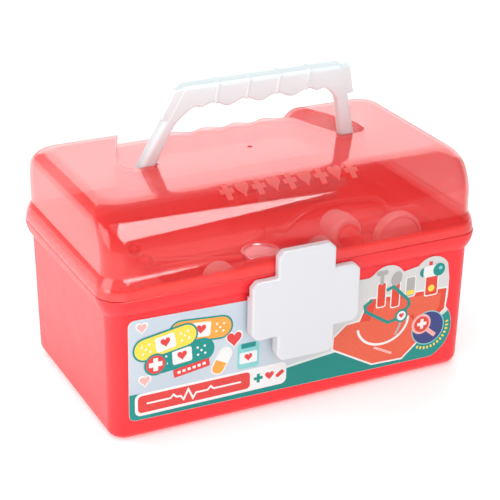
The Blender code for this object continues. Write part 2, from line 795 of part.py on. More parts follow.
def front_label(parts, cutters):
    # Leans with the tapered front wall, and leaves the latch bosses free
    slope = math.atan2(base_taper_front, flare_foot)
    foot_y = -(base_half_y - base_taper_front) - touch_gap - label_thickness / 2
    place = (Matrix.Translation((0.0, foot_y, 0.0)) @ Matrix.Rotation(slope, 4, "X")
             @ Matrix.Rotation(math.radians(90.0), 4, "X"))
    label = plate("front_label", label_outline(), label_thickness, place, parts)
    half = latch_barrel_length / 2 + 2 * touch_gap + latch_boss_length + touch_gap
    reach = latch_barrel_radius + 2 * touch_gap
    combine(label, box("boss_hole", (-half, -flange_half_y, latch_pivot_height - reach),
                       (half, 0.0, latch_pivot_height + reach), cutters), "DIFFERENCE")
    return label


def hinge_pin(name, side, parts):
    reach = hinge_middle_length / 2 + touch_gap + hinge_side_length
    middle = side * hinge_spacing / 2
    return rod_along_x(name, hinge_pin_radius, middle - reach, middle + reach, hinge_y, seam_height, parts, 16)


def latch_pin(parts):
    reach = latch_barrel_length / 2 + touch_gap + latch_boss_length
    return rod_along_x("latch_pin", latch_pin_radius, -reach, reach, latch_pivot_y, latch_pivot_height,
                       parts, 14)


def tool_tray(parts, cutters):
    bottom = tray_floor_height
    top = bottom + tray_height
    floor = bottom + tray_floor
    outer = [rounded_ring(tray_half_x, tray_half_y, tray_half_y, tray_corner_radius, z) for z in (bottom, top)]
    inner = [rounded_ring(deck_half_x, deck_half_y, deck_half_y, tray_corner_radius - tray_wall, z)
             for z in (top, floor)]
    tray = loft("tool_tray", outer + inner, parts)
    x, y = chest_place()
    drop = chest_radius - chest_sink
    half_slot = math.sqrt(chest_radius ** 2 - drop ** 2) + touch_gap
    half_thick = chest_thickness / 2 + touch_gap
    combine(tray, box("chest_slot", (x - half_slot, y - half_thick, bottom - cut_overrun),
                      (x + half_slot, y + half_thick, top + cut_overrun), cutters), "DIFFERENCE")
    return tray


def front_row_y():
    return -deck_half_y + row_gap + max(thermometer_width / 2, thermometer_bulb_radius)


def chest_place():
    half_head = hammer_head_length / 2
    return chest_x_share * deck_half_x, -deck_half_y + row_gap + half_head + chest_thickness / 2


def thermometer(parts, cutters):
    y = front_row_y()
    left = -thermometer_left_share * deck_half_x
    right = left + thermometer_length - thermometer_bulb_radius
    half_width = thermometer_width / 2
    outline = []
    for step in range(9):
        angle = math.radians(90.0 + 22.5 * step)
        outline.append((left + half_width + half_width * math.cos(angle), half_width * math.sin(angle)))
    outline += [(right, -half_width), (right, half_width)]
    body = plate("thermometer_body", outline, thermometer_thickness,
                 Matrix.Translation((0.0, y, deck + thermometer_thickness / 2)), parts)
    bevel_edges(body, thermometer_thickness / 5, 2, 50.0)
    bm = bmesh.new()
    bmesh.ops.create_uvsphere(bm, u_segments=20, v_segments=12, radius=thermometer_bulb_radius)
    bmesh.ops.translate(bm, vec=(right, y, deck + thermometer_bulb_radius), verts=bm.verts)
    combine(body, object_from_bmesh("bulb", bm, cutters), "UNION")

    half_length = thermometer_label_length / 2
    middle = (left + right - thermometer_bulb_radius) / 2
    top = deck + thermometer_thickness + touch_gap + label_thickness / 2
    half_width = thermometer_label_width / 2
    corners = [(middle - half_length, -half_width), (middle + half_length, -half_width),
               (middle + half_length, half_width), (middle - half_length, half_width)]
    label = plate("thermometer_label", corners, label_thickness, Matrix.Translation((0.0, y, top)), parts)
    return body, label


def along_x(x, y, z):
    return Matrix.Translation((x, y, z)) @ Matrix.Rotation(math.radians(90.0), 4, "Y")


def along_y(x, y, z):
    # The profile's top points to the front
    return Matrix.Translation((x, y, z)) @ Matrix.Rotation(math.radians(90.0), 4, "X")


def reflex_hammer(parts):
    y = -deck_half_y + row_gap + hammer_head_length / 2
    left = -hammer_left_share * deck_half_x
    length = hammer_handle_length
    grip = hammer_handle_radius
    neck = hammer_neck_radius
    profile = [(0.0, length), (neck, length), (neck, length * 0.72), (grip * 0.8, length * 0.62),
               (grip, length * 0.3), (grip * 0.9, grip / 2), (grip / 2, 0.0), (0.0, 0.0)]
    handle = turned("hammer_handle", profile, 16, along_x(left, y, deck + grip), parts)
    half = hammer_head_length / 2
    radius = hammer_head_radius
    waist = radius * hammer_waist_share
    head_x = left + length + touch_gap + waist
    profile = [(0.0, half), (radius * 0.7, half), (radius, half * 0.8), (waist, half * 0.45),
               (waist, -half * 0.45), (radius, -half * 0.8), (radius * 0.7, -half), (0.0, -half)]
    head = turned("hammer_head", profile, 20, along_y(head_x, y, deck + radius), parts)
    return handle, head


def otoscope(parts):
    x = otoscope_x_share * deck_half_x
    y = otoscope_y()
    z = deck + otoscope_drum_radius
    half = otoscope_drum_length / 2
    drum = otoscope_drum_radius
    rim = otoscope_rim_radius
    back = half + otoscope_rim_length
    profile = [(0.0, half), (drum * 0.85, half), (drum, half * 0.7), (drum, -half * 0.7), (rim * 0.8, -half),
               (rim, -half - otoscope_rim_length / 3), (rim, -back), (rim * 0.75, -back), (rim * 0.7, -half),
               (0.0, -half)]
    head = turned("otoscope_head", profile, 20, along_y(x, y, z), parts)
    start = half + touch_gap
    cone = otoscope_cone_radius
    tip = otoscope_tip_radius
    length = otoscope_cone_length
    profile = [(0.0, start + length), (tip * 0.7, start + length), (tip, start + length * 0.9),
               (cone * 0.75, start + length * 0.3), (cone, start + length * 0.2), (cone, start), (0.0, start)]
    ear_cone = turned("otoscope_cone", profile, 18, along_y(x, y, z), parts)
    length = otoscope_handle_length
    grip = otoscope_grip_radius
    neck = otoscope_neck_radius
    profile = [(0.0, length), (grip * 0.6, length), (grip * 0.95, length * 0.93), (grip, length * 0.5),
               (neck, length * 0.12), (neck, 0.0), (0.0, 0.0)]
    handle = turned("otoscope_handle", profile, 16, along_x(x + drum + touch_gap, y, z), parts)
    return head, ear_cone, handle


def otoscope_y():
    hammer_back = -deck_half_y + row_gap + hammer_head_length
    return hammer_back + row_gap + otoscope_drum_length / 2


def chest_centre():
    x, y = chest_place()
    return x, y, deck - touch_gap - chest_sink + chest_radius


def chest_set(parts):
    place = along_y(*chest_centre())
    half = chest_thickness / 2
    radius = chest_radius
    inner = radius - chest_lip
    floor = half - chest_recess
    profile = [(0.0, floor), (inner, floor), (inner, half), (radius * 0.94, half), (radius, half * 0.6),
               (radius, -half * 0.6), (radius * 0.9, -half), (0.0, -half)]
    piece = turned("chest_piece", profile, 28, place, parts)
    front = floor + button_travel + 2 * touch_gap
    disc = inner - touch_gap
    profile = [(0.0, front + button_thickness), (disc * 0.6, front + button_thickness - button_crown * 0.25),
               (disc, front + button_thickness - button_crown), (disc, front), (0.0, front)]
    button = turned("chest_button", profile, 24, place, parts)
    return piece, button


def headset_place():
    # Middle of the yoke, where the tube leaves it
    y = otoscope_y() + otoscope_drum_length / 2 + otoscope_rim_length + row_gap + headset_half_width
    return headset_yoke_x_share * deck_half_x, y + headset_tube_radius, deck + headset_tube_radius


def stethoscope(parts, cutters):
    x, y, z = headset_place()
    reach = headset_length
    width = headset_half_width
    splay = width * 0.62
    near_route = [(x - reach * 0.03, y, z), (x - reach * 0.08, y, z), (x - reach * 0.2, y + width * 0.6, z),
                  (x - reach * 0.4, y + width, z), (x - reach * 0.75, y + width * 0.95, z),
                  (x - reach * 0.93, y + splay, z)]
    near_places = [Vector((x, y, z))] + smooth_path(near_route, headset_steps) + [Vector((x - reach, y + splay, z))]
    far_places = [Vector((place.x, 2 * y - place.y, place.z)) for place in near_places]
    headset = tube("stethoscope_headset", near_places, headset_tube_radius, parts)
    combine(headset, tube("other_arm", far_places, headset_tube_radius * 0.999, cutters), "UNION")
    socket = headset_tube_radius * 1.5
    yoke = rod_along_x("yoke", socket, x - reach * 0.06, x, y, z + socket - headset_tube_radius, cutters, 16)
    combine(headset, yoke, "UNION")

    tips = []
    for name, side in (("ear_tip_left", -1), ("ear_tip_right", 1)):
        end = x - reach
        tip = ear_tip_radius
        length = ear_tip_length
        profile = [(0.0, length), (tip * 0.55, length * 0.92), (tip, length * 0.55), (tip * 0.8, length * 0.2),
                   (tip * 0.5, 0.0), (0.0, 0.0)]
        place = (Matrix.Translation((end - touch_gap, y + side * splay, deck + tip))
                 @ Matrix.Rotation(math.radians(-90.0), 4, "Y"))
        tips.append(turned(name, profile, 16, place, parts))

    cx, cy, cz = chest_centre()
    start = Vector((x + touch_gap, y, z + socket - headset_tube_radius))
    over = deck + otoscope_drum_radius + otoscope_grip_radius + stem_clearance + stem_radius
    handle_y = otoscope_y()
    back_face = cy + chest_thickness / 2 + touch_gap
    route = [start + Vector((stem_radius * 2, 0.0, 0.0)), start + Vector((otoscope_drum_radius, 0.0, 0.0)),
             Vector(((start.x + cx) / 2, y, (start.z + over) / 2)),
             Vector((cx - stem_radius, handle_y + otoscope_grip_radius, over)),
             Vector((cx, handle_y - otoscope_neck_radius, over - stem_radius / 2)),
             Vector((cx, back_face + stem_radius * 2, cz + stem_radius * 4))]
    end = Vector((cx, back_face, cz + stem_radius * 4))
    places = [start] + smooth_path(route, stem_steps) + [end]
    link = tube("stethoscope_stem", places, stem_radius, parts)
    return headset, tips, link


def hand_mirror(parts):
    # Grip to the left, disc to the right with the glass up
    y = otoscope_y()
    left = -mirror_left_share * deck_half_x
    length = mirror_handle_length
    radius = mirror_disc_radius
    thick = mirror_disc_thickness
    grip = mirror_handle_radius
    profile = [(0.0, thick * 0.8), (radius * 0.82, thick * 0.8), (radius * 0.88, thick), (radius * 0.96, thick),
               (radius, thick * 0.7), (radius, thick * 0.2), (radius * 0.95, 0.0), (0.0, 0.0)]
    middle = Matrix.Translation((left + length + touch_gap + radius, y, deck + grip - thick / 2))
    disc = turned("mirror_disc", profile, 28, middle, parts)
    profile = [(0.0, length), (thick * 0.45, length), (thick * 0.45, length * 0.9), (grip, length * 0.6),
               (grip, length * 0.08), (grip * 0.7, 0.0), (0.0, 0.0)]
    handle = turned("mirror_handle", profile, 16, along_x(left, y, deck + grip), parts)
    return disc, handle


def syringe_place():
    return (syringe_centre_share * deck_half_x, deck_half_y - row_gap - syringe_flange_half_width,
            deck + syringe_barrel_radius)


def syringe(parts, cutters):
    x, y, z = syringe_place()
    length = syringe_barrel_length
    outer = syringe_barrel_radius
    bore = syringe_bore_radius
    nozzle = syringe_nozzle_radius
    wall = outer - bore
    end = length + syringe_nozzle_length
    profile = [(nozzle * 0.5, end), (nozzle, end), (nozzle, length), (outer, length), (outer, 0.0), (bore, 0.0),
               (bore, length - wall), (nozzle * 0.5, length - wall)]
    profile.append(profile[0])
    start = x - length / 2
    barrel = turned("syringe_barrel", profile, 20, along_x(start, y, z), parts)
    wings = box("finger_flange", (start, y - syringe_flange_half_width, z - syringe_flange_half_height),
                (start + syringe_flange_thickness, y + syringe_flange_half_width,
                 z + syringe_flange_half_height), cutters)
    combine(wings, rod_along_x("flange_bore", (outer + bore) / 2, start - cut_overrun,
                               start + syringe_flange_thickness + cut_overrun, y, z, cutters), "DIFFERENCE")
    combine(barrel, wings, "UNION")

    head = bore - touch_gap
    rod = plunger_rod_radius
    thumb = plunger_thumb_radius
    front = length - wall - touch_gap - plunger_head_length * 0.3
    back = -plunger_stand_off
    thick = plunger_thumb_thickness
    profile = [(0.0, front), (head, front - plunger_head_length * 0.3), (head, front - plunger_head_length),
               (rod, front - plunger_head_length), (rod, back), (thumb, back), (thumb, back - thick),
               (0.0, back - thick)]
    plunger = turned("syringe_plunger", profile, 20, along_x(start, y, z), parts)
    return barrel, plunger


def main():
    clear_scene()
    parts = make_collection("toy_doctor_case")
    cutters = make_collection("cutters")

    case_red = plastic("case_red", (0.80, 0.045, 0.045), 0.32)
    lid_clear_red = plastic("lid_clear_red", (0.85, 0.05, 0.04), 0.05, 0.45)
    handle_white = plastic("handle_white", (0.86, 0.86, 0.88), 0.30)
    latch_white = plastic("latch_white", (0.86, 0.86, 0.88), 0.28)
    label_paper = plastic("label_paper", (0.70, 0.80, 0.86), 0.40)
    steel = plastic("steel", (0.55, 0.56, 0.58), 0.30)
    steel.node_tree.nodes["Principled BSDF"].inputs["Metallic"].default_value = 1.0
    tool_red = plastic("tool_red", (0.75, 0.05, 0.04), 0.35)
    tool_white = plastic("tool_white", (0.82, 0.82, 0.80), 0.35)
    sticker_orange = plastic("sticker_orange", (0.85, 0.40, 0.05), 0.45)
    barrel_clear = plastic("barrel_clear", (0.75, 0.85, 0.88), 0.08, 0.5)
    mirror_silver = plastic("mirror_silver", (0.80, 0.82, 0.84), 0.08)
    mirror_silver.node_tree.nodes["Principled BSDF"].inputs["Metallic"].default_value = 1.0

    root = axis_empty("case_origin", (0.0, 0.0, 0.0), parts)
    lid_axis = axis_empty("lid_axis", (0.0, hinge_y, seam_height), parts, root)
    handle_axis = axis_empty("handle_axis", (0.0, handle_pivot_y, handle_pivot_z), parts, lid_axis)
    latch_axis = axis_empty("latch_axis", (0.0, latch_pivot_y, latch_pivot_height), parts, root)
    plunger_axis = axis_empty("plunger_axis", syringe_place(), parts, root)
    button_axis = axis_empty("button_axis", chest_centre(), parts, root)

    here = root.location
    finish(base_tub(parts, cutters), case_red, here, root)
    finish(front_label(parts, cutters), label_paper, here, root)
    finish(hinge_pin("hinge_pin_left", -1, parts), steel, here, root)
    finish(hinge_pin("hinge_pin_right", 1, parts), steel, here, root)
    finish(latch_pin(parts), steel, here, root)
    finish(tool_tray(parts, cutters), case_red, here, root)
    finish(lid_shell(parts, cutters), lid_clear_red, lid_axis.matrix_world.translation, lid_axis)
    finish(carry_handle(parts, cutters), handle_white, handle_axis.matrix_world.translation, handle_axis)
    finish(latch_cross(parts, cutters), latch_white, latch_axis.matrix_world.translation, latch_axis)

    body, label = thermometer(parts, cutters)
    finish(body, tool_white, here, root)
    finish(label, sticker_orange, here, root)
    grip, head = reflex_hammer(parts)
    finish(grip, tool_red, here, root)
    finish(head, tool_white, here, root)
    head, cone, grip = otoscope(parts)
    finish(head, tool_white, here, root)
    finish(cone, tool_red, here, root)
    finish(grip, tool_red, here, root)
    piece, button = chest_set(parts)
    finish(piece, tool_white, here, root)
    finish(button, tool_white, button_axis.matrix_world.translation, button_axis)
    headset, tips, link = stethoscope(parts, cutters)
    finish(headset, tool_red, here, root)
    for tip in tips:
        finish(tip, tool_red, here, root)
    finish(link, tool_red, here, root)
    disc, grip = hand_mirror(parts)
    finish(disc, mirror_silver, here, root)
    finish(grip, tool_red, here, root)
    barrel, plunger = syringe(parts, cutters)
    finish(barrel, barrel_clear, here, root)
    finish(plunger, tool_red, plunger_axis.matrix_world.translation, plunger_axis)

    for item in cutters.objects:
        item.hide_render = True
        item.display_type = "WIRE"


main()
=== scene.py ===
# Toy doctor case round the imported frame: red tub, clear red lid, white handle and cross latch, play tools.
import math

import bmesh
import bpy
from mathutils import Matrix, Vector


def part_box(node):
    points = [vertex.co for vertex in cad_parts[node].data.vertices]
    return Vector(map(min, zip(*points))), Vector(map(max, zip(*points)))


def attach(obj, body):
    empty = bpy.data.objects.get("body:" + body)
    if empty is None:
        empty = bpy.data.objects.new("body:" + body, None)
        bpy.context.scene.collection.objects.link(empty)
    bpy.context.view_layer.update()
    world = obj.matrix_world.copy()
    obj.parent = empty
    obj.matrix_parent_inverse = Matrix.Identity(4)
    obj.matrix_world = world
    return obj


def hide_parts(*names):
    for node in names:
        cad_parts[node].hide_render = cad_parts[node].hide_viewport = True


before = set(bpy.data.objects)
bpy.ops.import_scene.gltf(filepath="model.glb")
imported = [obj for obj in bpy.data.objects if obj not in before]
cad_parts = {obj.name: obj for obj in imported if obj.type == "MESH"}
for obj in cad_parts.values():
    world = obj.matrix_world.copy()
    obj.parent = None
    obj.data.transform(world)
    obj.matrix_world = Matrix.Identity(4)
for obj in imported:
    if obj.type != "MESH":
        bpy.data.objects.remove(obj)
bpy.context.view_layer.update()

mm = 0.001
deg = math.pi / 180.0


# small tools for places and meshes

def at(x, y, z):
    return Matrix.Translation((x, y, z))


def spin(angle, axis):
    return Matrix.Rotation(angle * deg, 4, axis)


def addObject(name, data):
    item = bpy.data.objects.new(name, data)
    bpy.context.scene.collection.objects.link(item)
    return item


def keepMesh(name, mesh, *materials):
    piece = addObject(name, mesh)
    if len(mesh.materials):
        # only then, because clearing also resets the material of every face
        mesh.materials.clear()
    for material in materials:
        mesh.materials.append(material)
    return piece


def keepBmesh(name, bm, *materials):
    bmesh.ops.recalc_face_normals(bm, faces=bm.faces)
    mesh = bpy.data.meshes.new(name)
    bm.to_mesh(mesh)
    bm.free()
    return keepMesh(name, mesh, *materials)


def bakeModifiers(piece):
    # turns a piece and its modifiers into one plain mesh
    bpy.context.view_layer.update()
    graph = bpy.context.evaluated_depsgraph_get()
    mesh = bpy.data.meshes.new_from_object(piece.evaluated_get(graph))
    piece.modifiers.clear()
    piece.data = mesh
    return piece


def combine(target, other, operation):
    step = target.modifiers.new("combine", "BOOLEAN")
    step.operation = operation
    step.solver = "EXACT"
    step.material_mode = "TRANSFER"
    step.object = other
    bakeModifiers(target)
    bpy.data.objects.remove(other)
    return target


def weld(target, other):
    return combine(target, other, "UNION")


def cut(target, other):
    return combine(target, other, "DIFFERENCE")


def roundEdges(piece, width, segments, leastAngle=40.0):
    rounding = piece.modifiers.new("rounding", "BEVEL")
    rounding.width = width
    rounding.segments = segments
    rounding.limit_method = "ANGLE"
    rounding.angle_limit = leastAngle * deg
    rounding.use_clamp_overlap = True
    return bakeModifiers(piece)


def smooth(piece, sharpAngle=32.0, weighted=True):
    # smooth shading that keeps flat faces flat
    piece.data.shade_smooth()
    piece.data.set_sharp_from_angle(angle=sharpAngle * deg)
    if weighted:
        even = piece.modifiers.new("even", "WEIGHTED_NORMAL")
        even.keep_sharp = True
        even.weight = 80
        bakeModifiers(piece)
    return piece


def skinRings(name, rings, *materials):
    bm = bmesh.new()
    rows = [[bm.verts.new(point) for point in ring] for ring in rings]
    count = len(rings[0])
    for lower, upper in zip(rows, rows[1:]):
        for i in range(count):
            j = (i + 1) % count
            bm.faces.new((lower[i], lower[j], upper[j], upper[i]))
    bm.faces.new(list(reversed(rows[0])))
    bm.faces.new(rows[-1])
    return keepBmesh(name, bm, *materials)


def plate(name, outline, thickness, place, *materials):
    # flat outline of (x, y) pairs, thickened evenly about its own plane
    rings = [[place @ Vector((x, y, z)) for x, y in outline] for z in (-thickness / 2, thickness / 2)]
    return skinRings(name, rings, *materials)


def offsetOutline(points, inset):
    # moves each side of a closed outline inwards by the inset, corners mitred
    moved = []
    count = len(points)
    area = sum(a[0] * b[1] - b[0] * a[1] for a, b in zip(points, points[1:] + points[:1]))
    turn = 1.0 if area > 0 else -1.0
    for i in range(count):
        before, here, after = (Vector(points[(i + k) % count]) for k in (-1, 0, 1))
        first, second = (here - before).normalized(), (after - here).normalized()
        a = Vector((-first.y, first.x)) * turn
        b = Vector((-second.y, second.x)) * turn
        middle = (a + b).normalized()
        moved.append(here + middle * inset / max(middle.dot(a), 0.5))
    return [(p.x, p.y) for p in moved]


def roundedPlate(name, outline, thickness, edge, steps, place, *materials):
    # plate whose two long edges are rounded all round its outline
    half = thickness / 2
    rings = []
    for side in (-1, 1):
        for s, c in quarter(steps)[::-side]:
            shape = offsetOutline(outline, edge * (1 - s))
            height = side * (half - edge * (1 - c))
            rings.append([place @ Vector((x, y, height)) for x, y in shape])
    return skinRings(name, rings, *materials)


def block(name, low, high, *materials):
    bm = bmesh.new()
    bmesh.ops.create_cube(bm, size=1.0)
    bmesh.ops.scale(bm, vec=[b - a for a, b in zip(low, high)], verts=bm.verts)
    bmesh.ops.translate(bm, vec=[(a + b) / 2 for a, b in zip(low, high)], verts=bm.verts)
    return keepBmesh(name, bm, *materials)


def roundPoints(count):
    turns = [2 * math.pi * i / count for i in range(count)]
    return [(math.cos(turn), math.sin(turn)) for turn in turns]


def quarter(steps):
    # sine and cosine at each step of a quarter turn
    turns = [90.0 * deg * i / steps for i in range(steps + 1)]
    return [(math.sin(turn), math.cos(turn)) for turn in turns]


def arc(centreX, centreY, radius, start, end, steps):
    turns = [(start + (end - start) * i / steps) * deg for i in range(steps + 1)]
    return [(centreX + radius * math.cos(turn), centreY + radius * math.sin(turn)) for turn in turns]


def turned(points, angle, x, y):
    # an outline turned and then moved
    c, s = math.cos(angle * deg), math.sin(angle * deg)
    return [(x + px * c - py * s, y + px * s + py * c) for px, py in points]


def roundedBar(halfWidth, halfHeight, radius, steps=6, below=None):
    # rectangle with round corners; below is its lower half height where that differs
    foot = -(halfHeight if below is None else below)
    points = []
    for x, y, start in ((halfWidth, halfHeight, 0.0), (-halfWidth, halfHeight, 90.0),
                        (-halfWidth, foot, 180.0), (halfWidth, foot, 270.0)):
        centre = (x - math.copysign(radius, x), y - math.copysign(radius, y))
        points += arc(*centre, radius, start, start + 90.0, steps)
    return points


def rodAlongX(name, radius, start, end, y, z, sides, *materials):
    rings = [[Vector((x, y + radius * c, z + radius * s)) for c, s in roundPoints(sides)]
             for x in (start, end)]
    return skinRings(name, rings, *materials)


def filletProfile(points, radius, steps):
    # rounds the inner corners of an open polyline
    result = [points[0]]
    for before, corner, after in zip(points, points[1:], points[2:]):
        a, b, c = Vector(before), Vector(corner), Vector(after)
        reach = min(radius, (a - b).length * 0.45, (c - b).length * 0.45)
        start = b + (a - b).normalized() * reach
        end = b + (c - b).normalized() * reach
        for i in range(steps + 1):
            t = i / steps
            point = start * (1 - t) ** 2 + b * 2 * t * (1 - t) + end * t ** 2
            result.append((point.x, point.y))
    result.append(points[-1])
    return result


def lathe(name, profile, sides, place, *materials):
    # solid of revolution about the profile's height axis
    bm = bmesh.new()
    rows = []
    for radius, height in profile:
        if radius < 1e-7:
            rows.append([bm.verts.new(place @ Vector((0.0, 0.0, height)))])
        else:
            rows.append([bm.verts.new(place @ Vector((radius * c, radius * s, height)))
                         for c, s in roundPoints(sides)])
    for lower, upper in zip(rows, rows[1:]):
        for i in range(sides):
            j = (i + 1) % sides
            loop = [lower[i % len(lower)], lower[j % len(lower)], upper[j % len(upper)],
                    upper[i % len(upper)]]
            corners = list(dict.fromkeys(loop))  # a pole's point stands for its whole ring
            if len(corners) > 2:
                bm.faces.new(corners)
    bmesh.ops.remove_doubles(bm, verts=bm.verts, dist=1e-6)
    return keepBmesh(name, bm, *materials)


def turnedPart(name, corners, soft, steps, sides, place, finish):
    # solid of revolution whose (radius, height) corners are softened first
    return lathe(name, filletProfile(corners, soft, steps), sides, place, finish)


def smoothPath(points, count):
    # evenly spaced places on a smooth curve through the given points
    knots = [points[0]] + list(points) + [points[-1]]
    places = []
    spans = len(points) - 1
    for i in range(count):
        position = i * spans / (count - 1)
        span = min(int(position), spans - 1)
        t = position - span
        a, b, c, d = (Vector(k) for k in knots[span:span + 4])
        places.append(((2 * b) + (c - a) * t + (2 * a - 5 * b + 4 * c - d) * t ** 2
                       + (3 * b - a - 3 * c + d) * t ** 3) / 2)
    return places


def sweep(name, places, radius, sides, *materials):
    # round tube along the places, its frame carried along without twist
    rings = []
    side = None
    for i, place in enumerate(places):
        along = (places[min(i + 1, len(places) - 1)] - places[max(i - 1, 0)]).normalized()
        if side is None:
            side = along.orthogonal().normalized()
        side = (side - along * side.dot(along)).normalized()
        other = along.cross(side)
        rings.append([place + (side * c + other * s) * radius for c, s in roundPoints(sides)])
    return skinRings(name, rings, *materials)


def join(name, pieces):
    # one mesh of several pieces, each face with its own material kept
    bm = bmesh.new()
    slots = []
    for piece in pieces:
        newSlot = {}
        for i, material in enumerate(piece.data.materials):
            if material not in slots:
                slots.append(material)
            newSlot[i] = slots.index(material)
        first = len(bm.faces)
        bm.from_mesh(piece.data)
        bm.faces.ensure_lookup_table()
        for face in bm.faces[first:]:
            face.material_index = newSlot.get(face.material_index, 0)
        bpy.data.objects.remove(piece)
    mesh = bpy.data.meshes.new(name)
    bm.to_mesh(mesh)
    bm.free()
    return keepMesh(name, mesh, *slots)


def settle(piece, body, slotName, *nodes):
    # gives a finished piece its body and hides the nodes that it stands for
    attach(piece, body)
    if nodes:
        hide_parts(*nodes)


# node helpers

def setSockets(tree, node, feeds):
    # gives each named input a value, or links it where the value is another node's output
    for socket, value in feeds.items():
        if isinstance(value, bpy.types.NodeSocket):
            tree.links.new(value, node.inputs[socket])
        else:
            node.inputs[socket].default_value = value


def addNode(tree, kind, feeds=None, **settings):
    node = tree.nodes.new(kind)
    for key, value in settings.items():
        setattr(node, key, value)
    setSockets(tree, node, feeds or {})
    return node


def newMaterial(name):
    material = bpy.data.materials.new(name)
    material.use_nodes = True
    return material, material.node_tree, material.node_tree.nodes["Principled BSDF"]


def ownAxis(tree, axis):
    # the piece's own X, Y or Z at each point
    spot = addNode(tree, "ShaderNodeTexCoord").outputs["Object"]
    return addNode(tree, "ShaderNodeSeparateXYZ", {"Vector": spot}).outputs[axis]


def ramp(tree, source, stops):
    node = addNode(tree, "ShaderNodeValToRGB", {"Fac": source})
    while len(node.color_ramp.elements) < len(stops):
        node.color_ramp.elements.new(0.5)
    for element, (position, colour) in zip(node.color_ramp.elements, stops):
        element.position = position
        element.color = (*colour, 1.0)
    return node.outputs["Color"]


def noise(tree, scale, detail, roughness, stretch=(1.0, 1.0, 1.0)):
    spot = addNode(tree, "ShaderNodeTexCoord").outputs["Object"]
    mapped = addNode(tree, "ShaderNodeMapping", {"Vector": spot, "Scale": stretch}).outputs["Vector"]
    return addNode(tree, "ShaderNodeTexNoise", {"Vector": mapped, "Scale": scale, "Detail": detail,
                                                "Roughness": roughness}).outputs["Fac"]


def remap(tree, source, low, high, start=0.0, end=1.0, curve="LINEAR"):
    # runs from low to high while the source runs from start to end
    return addNode(tree, "ShaderNodeMapRange", {"Value": source, "From Min": start, "From Max": end,
                                                "To Min": low, "To Max": high},
                   interpolation_type=curve).outputs["Result"]


def heightShare(tree, foot, head, atFoot, atHead):
    # a value that runs from atFoot to atHead between two heights
    return remap(tree, ownAxis(tree, "Z"), atFoot, atHead, foot, head, "SMOOTHSTEP")


def mixed(tree, share, first, second, blend="MIX"):
    return addNode(tree, "ShaderNodeMix", {0: share, 6: first, 7: (*second, 1.0)}, data_type="RGBA",
                   blend_type=blend).outputs[2]


def bump(tree, shader, source, strength, distance):
    node = addNode(tree, "ShaderNodeBump", {"Height": source, "Strength": strength, "Distance": distance})
    tree.links.new(node.outputs["Normal"], shader.inputs["Normal"])


# materials

seamShadeLook = {
    # painted shade: both rims are darkened to a line where they meet, in place of the shadow in the seam; the
    # lid's flange also looks deeper than its walls
    "shade": (0.80, 0.30, 0.30), "tubShadeBand": (93.0 * mm, 93.4 * mm), "lidShadeBand": (94.1 * mm, 94.6 * mm),
    "lidEdge": (94.2 * mm, 95.2 * mm), "flange": (98.5 * mm, 103.5 * mm), "flangeCover": 0.72,
}
moulded = {
    # colour, colour of its flow marks, roughness, strength and scale of the grain, unevenness of the gloss
    # the tub's last entry is the band of its rim top that gets painted seam shade
    "tubRed": ((0.92, 0.018, 0.027), (0.88, 0.014, 0.022), 0.33, 0.22, 1500.0, 0.2, seamShadeLook["tubShadeBand"]),
    "handleWhite": ((0.79, 0.87, 0.885), (0.78, 0.86, 0.875), 0.34, 0.15, 1400.0, 0.06),
    "latchWhite": ((0.70, 0.705, 0.735), (0.695, 0.70, 0.73), 0.30, 0.12, 1400.0, 0.03),
    "toolRed": ((0.78, 0.030, 0.030), (0.70, 0.022, 0.024), 0.30, 0.25, 1400.0, 0.2),
    "toolWhite": ((0.82, 0.81, 0.79), (0.78, 0.77, 0.75), 0.32, 0.25, 1400.0, 0.2),
}
clear = {
    # colour, roughness, cover seen square on, cover seen edge on, coat, ripple
    # the lid's last entry is the seam look, with painted seam shade along its lowest rim
    "lidRed": ((1.0, 0.042, 0.040), 0.03, 0.30, 0.80, 0.4, 0.05, seamShadeLook),
    "lidEdge": ((0.82, 0.016, 0.014), 0.06, 0.85, 1.0, 0.2, 0.05),
    "lidFrost": ((1.0, 0.20, 0.18), 0.2, 0.55, 0.9, 0.0, 0.05),
    "barrelClear": ((0.84, 0.90, 0.92), 0.05, 0.10, 0.55, 0.0, 0.02),
}
metals = {
    # colour, roughness, stretch of the brush lines
    "pinSteel": ((0.60, 0.61, 0.63), 0.28, (0.05, 1.0, 1.0)),
    "mirrorSilver": ((0.55, 0.57, 0.60), 0.10, (1.0, 1.0, 1.0)),
}
inkTones = {
    "orange": (0.90, 0.36, 0.05), "yellow": (0.95, 0.66, 0.07), "teal": (0.0, 0.255, 0.225),
    "tealPale": (0.22, 0.58, 0.58), "red": (0.70, 0.044, 0.040), "pink": (0.88, 0.42, 0.40),
    "brick": (0.72, 0.050, 0.022), "salmon": (0.76, 0.110, 0.052), "white": (0.80, 0.79, 0.78),
    "navy": (0.035, 0.05, 0.20), "grey": (0.40, 0.385, 0.37),
}


def mouldedPlastic(name, colour, other, roughness, grain, grainScale, uneven, shadeBand=None):
    # opaque moulded plastic: faint flow marks in the colour, uneven gloss and a fine tool grain
    material, tree, shader = newMaterial(name)
    body = ramp(tree, noise(tree, 26.0, 3.0, 0.55, (1.0, 1.0, 0.45)), [(0.30, other), (0.70, colour)])
    # painted shade: with a shade band, the rim top is darkened to a line where the lid sits on it
    if shadeBand:
        body = mixed(tree, heightShare(tree, *shadeBand, 0.0, 1.0), body, seamShadeLook["shade"], "MULTIPLY")
    gloss = remap(tree, noise(tree, 95.0, 4.0, 0.6), roughness * (1 - uneven), roughness * (1 + uneven))
    setSockets(tree, shader, {"Base Color": body, "Roughness": gloss, "IOR": 1.49})
    bump(tree, shader, noise(tree, grainScale, 2.0, 0.5), grain, 0.06 * mm)
    return material


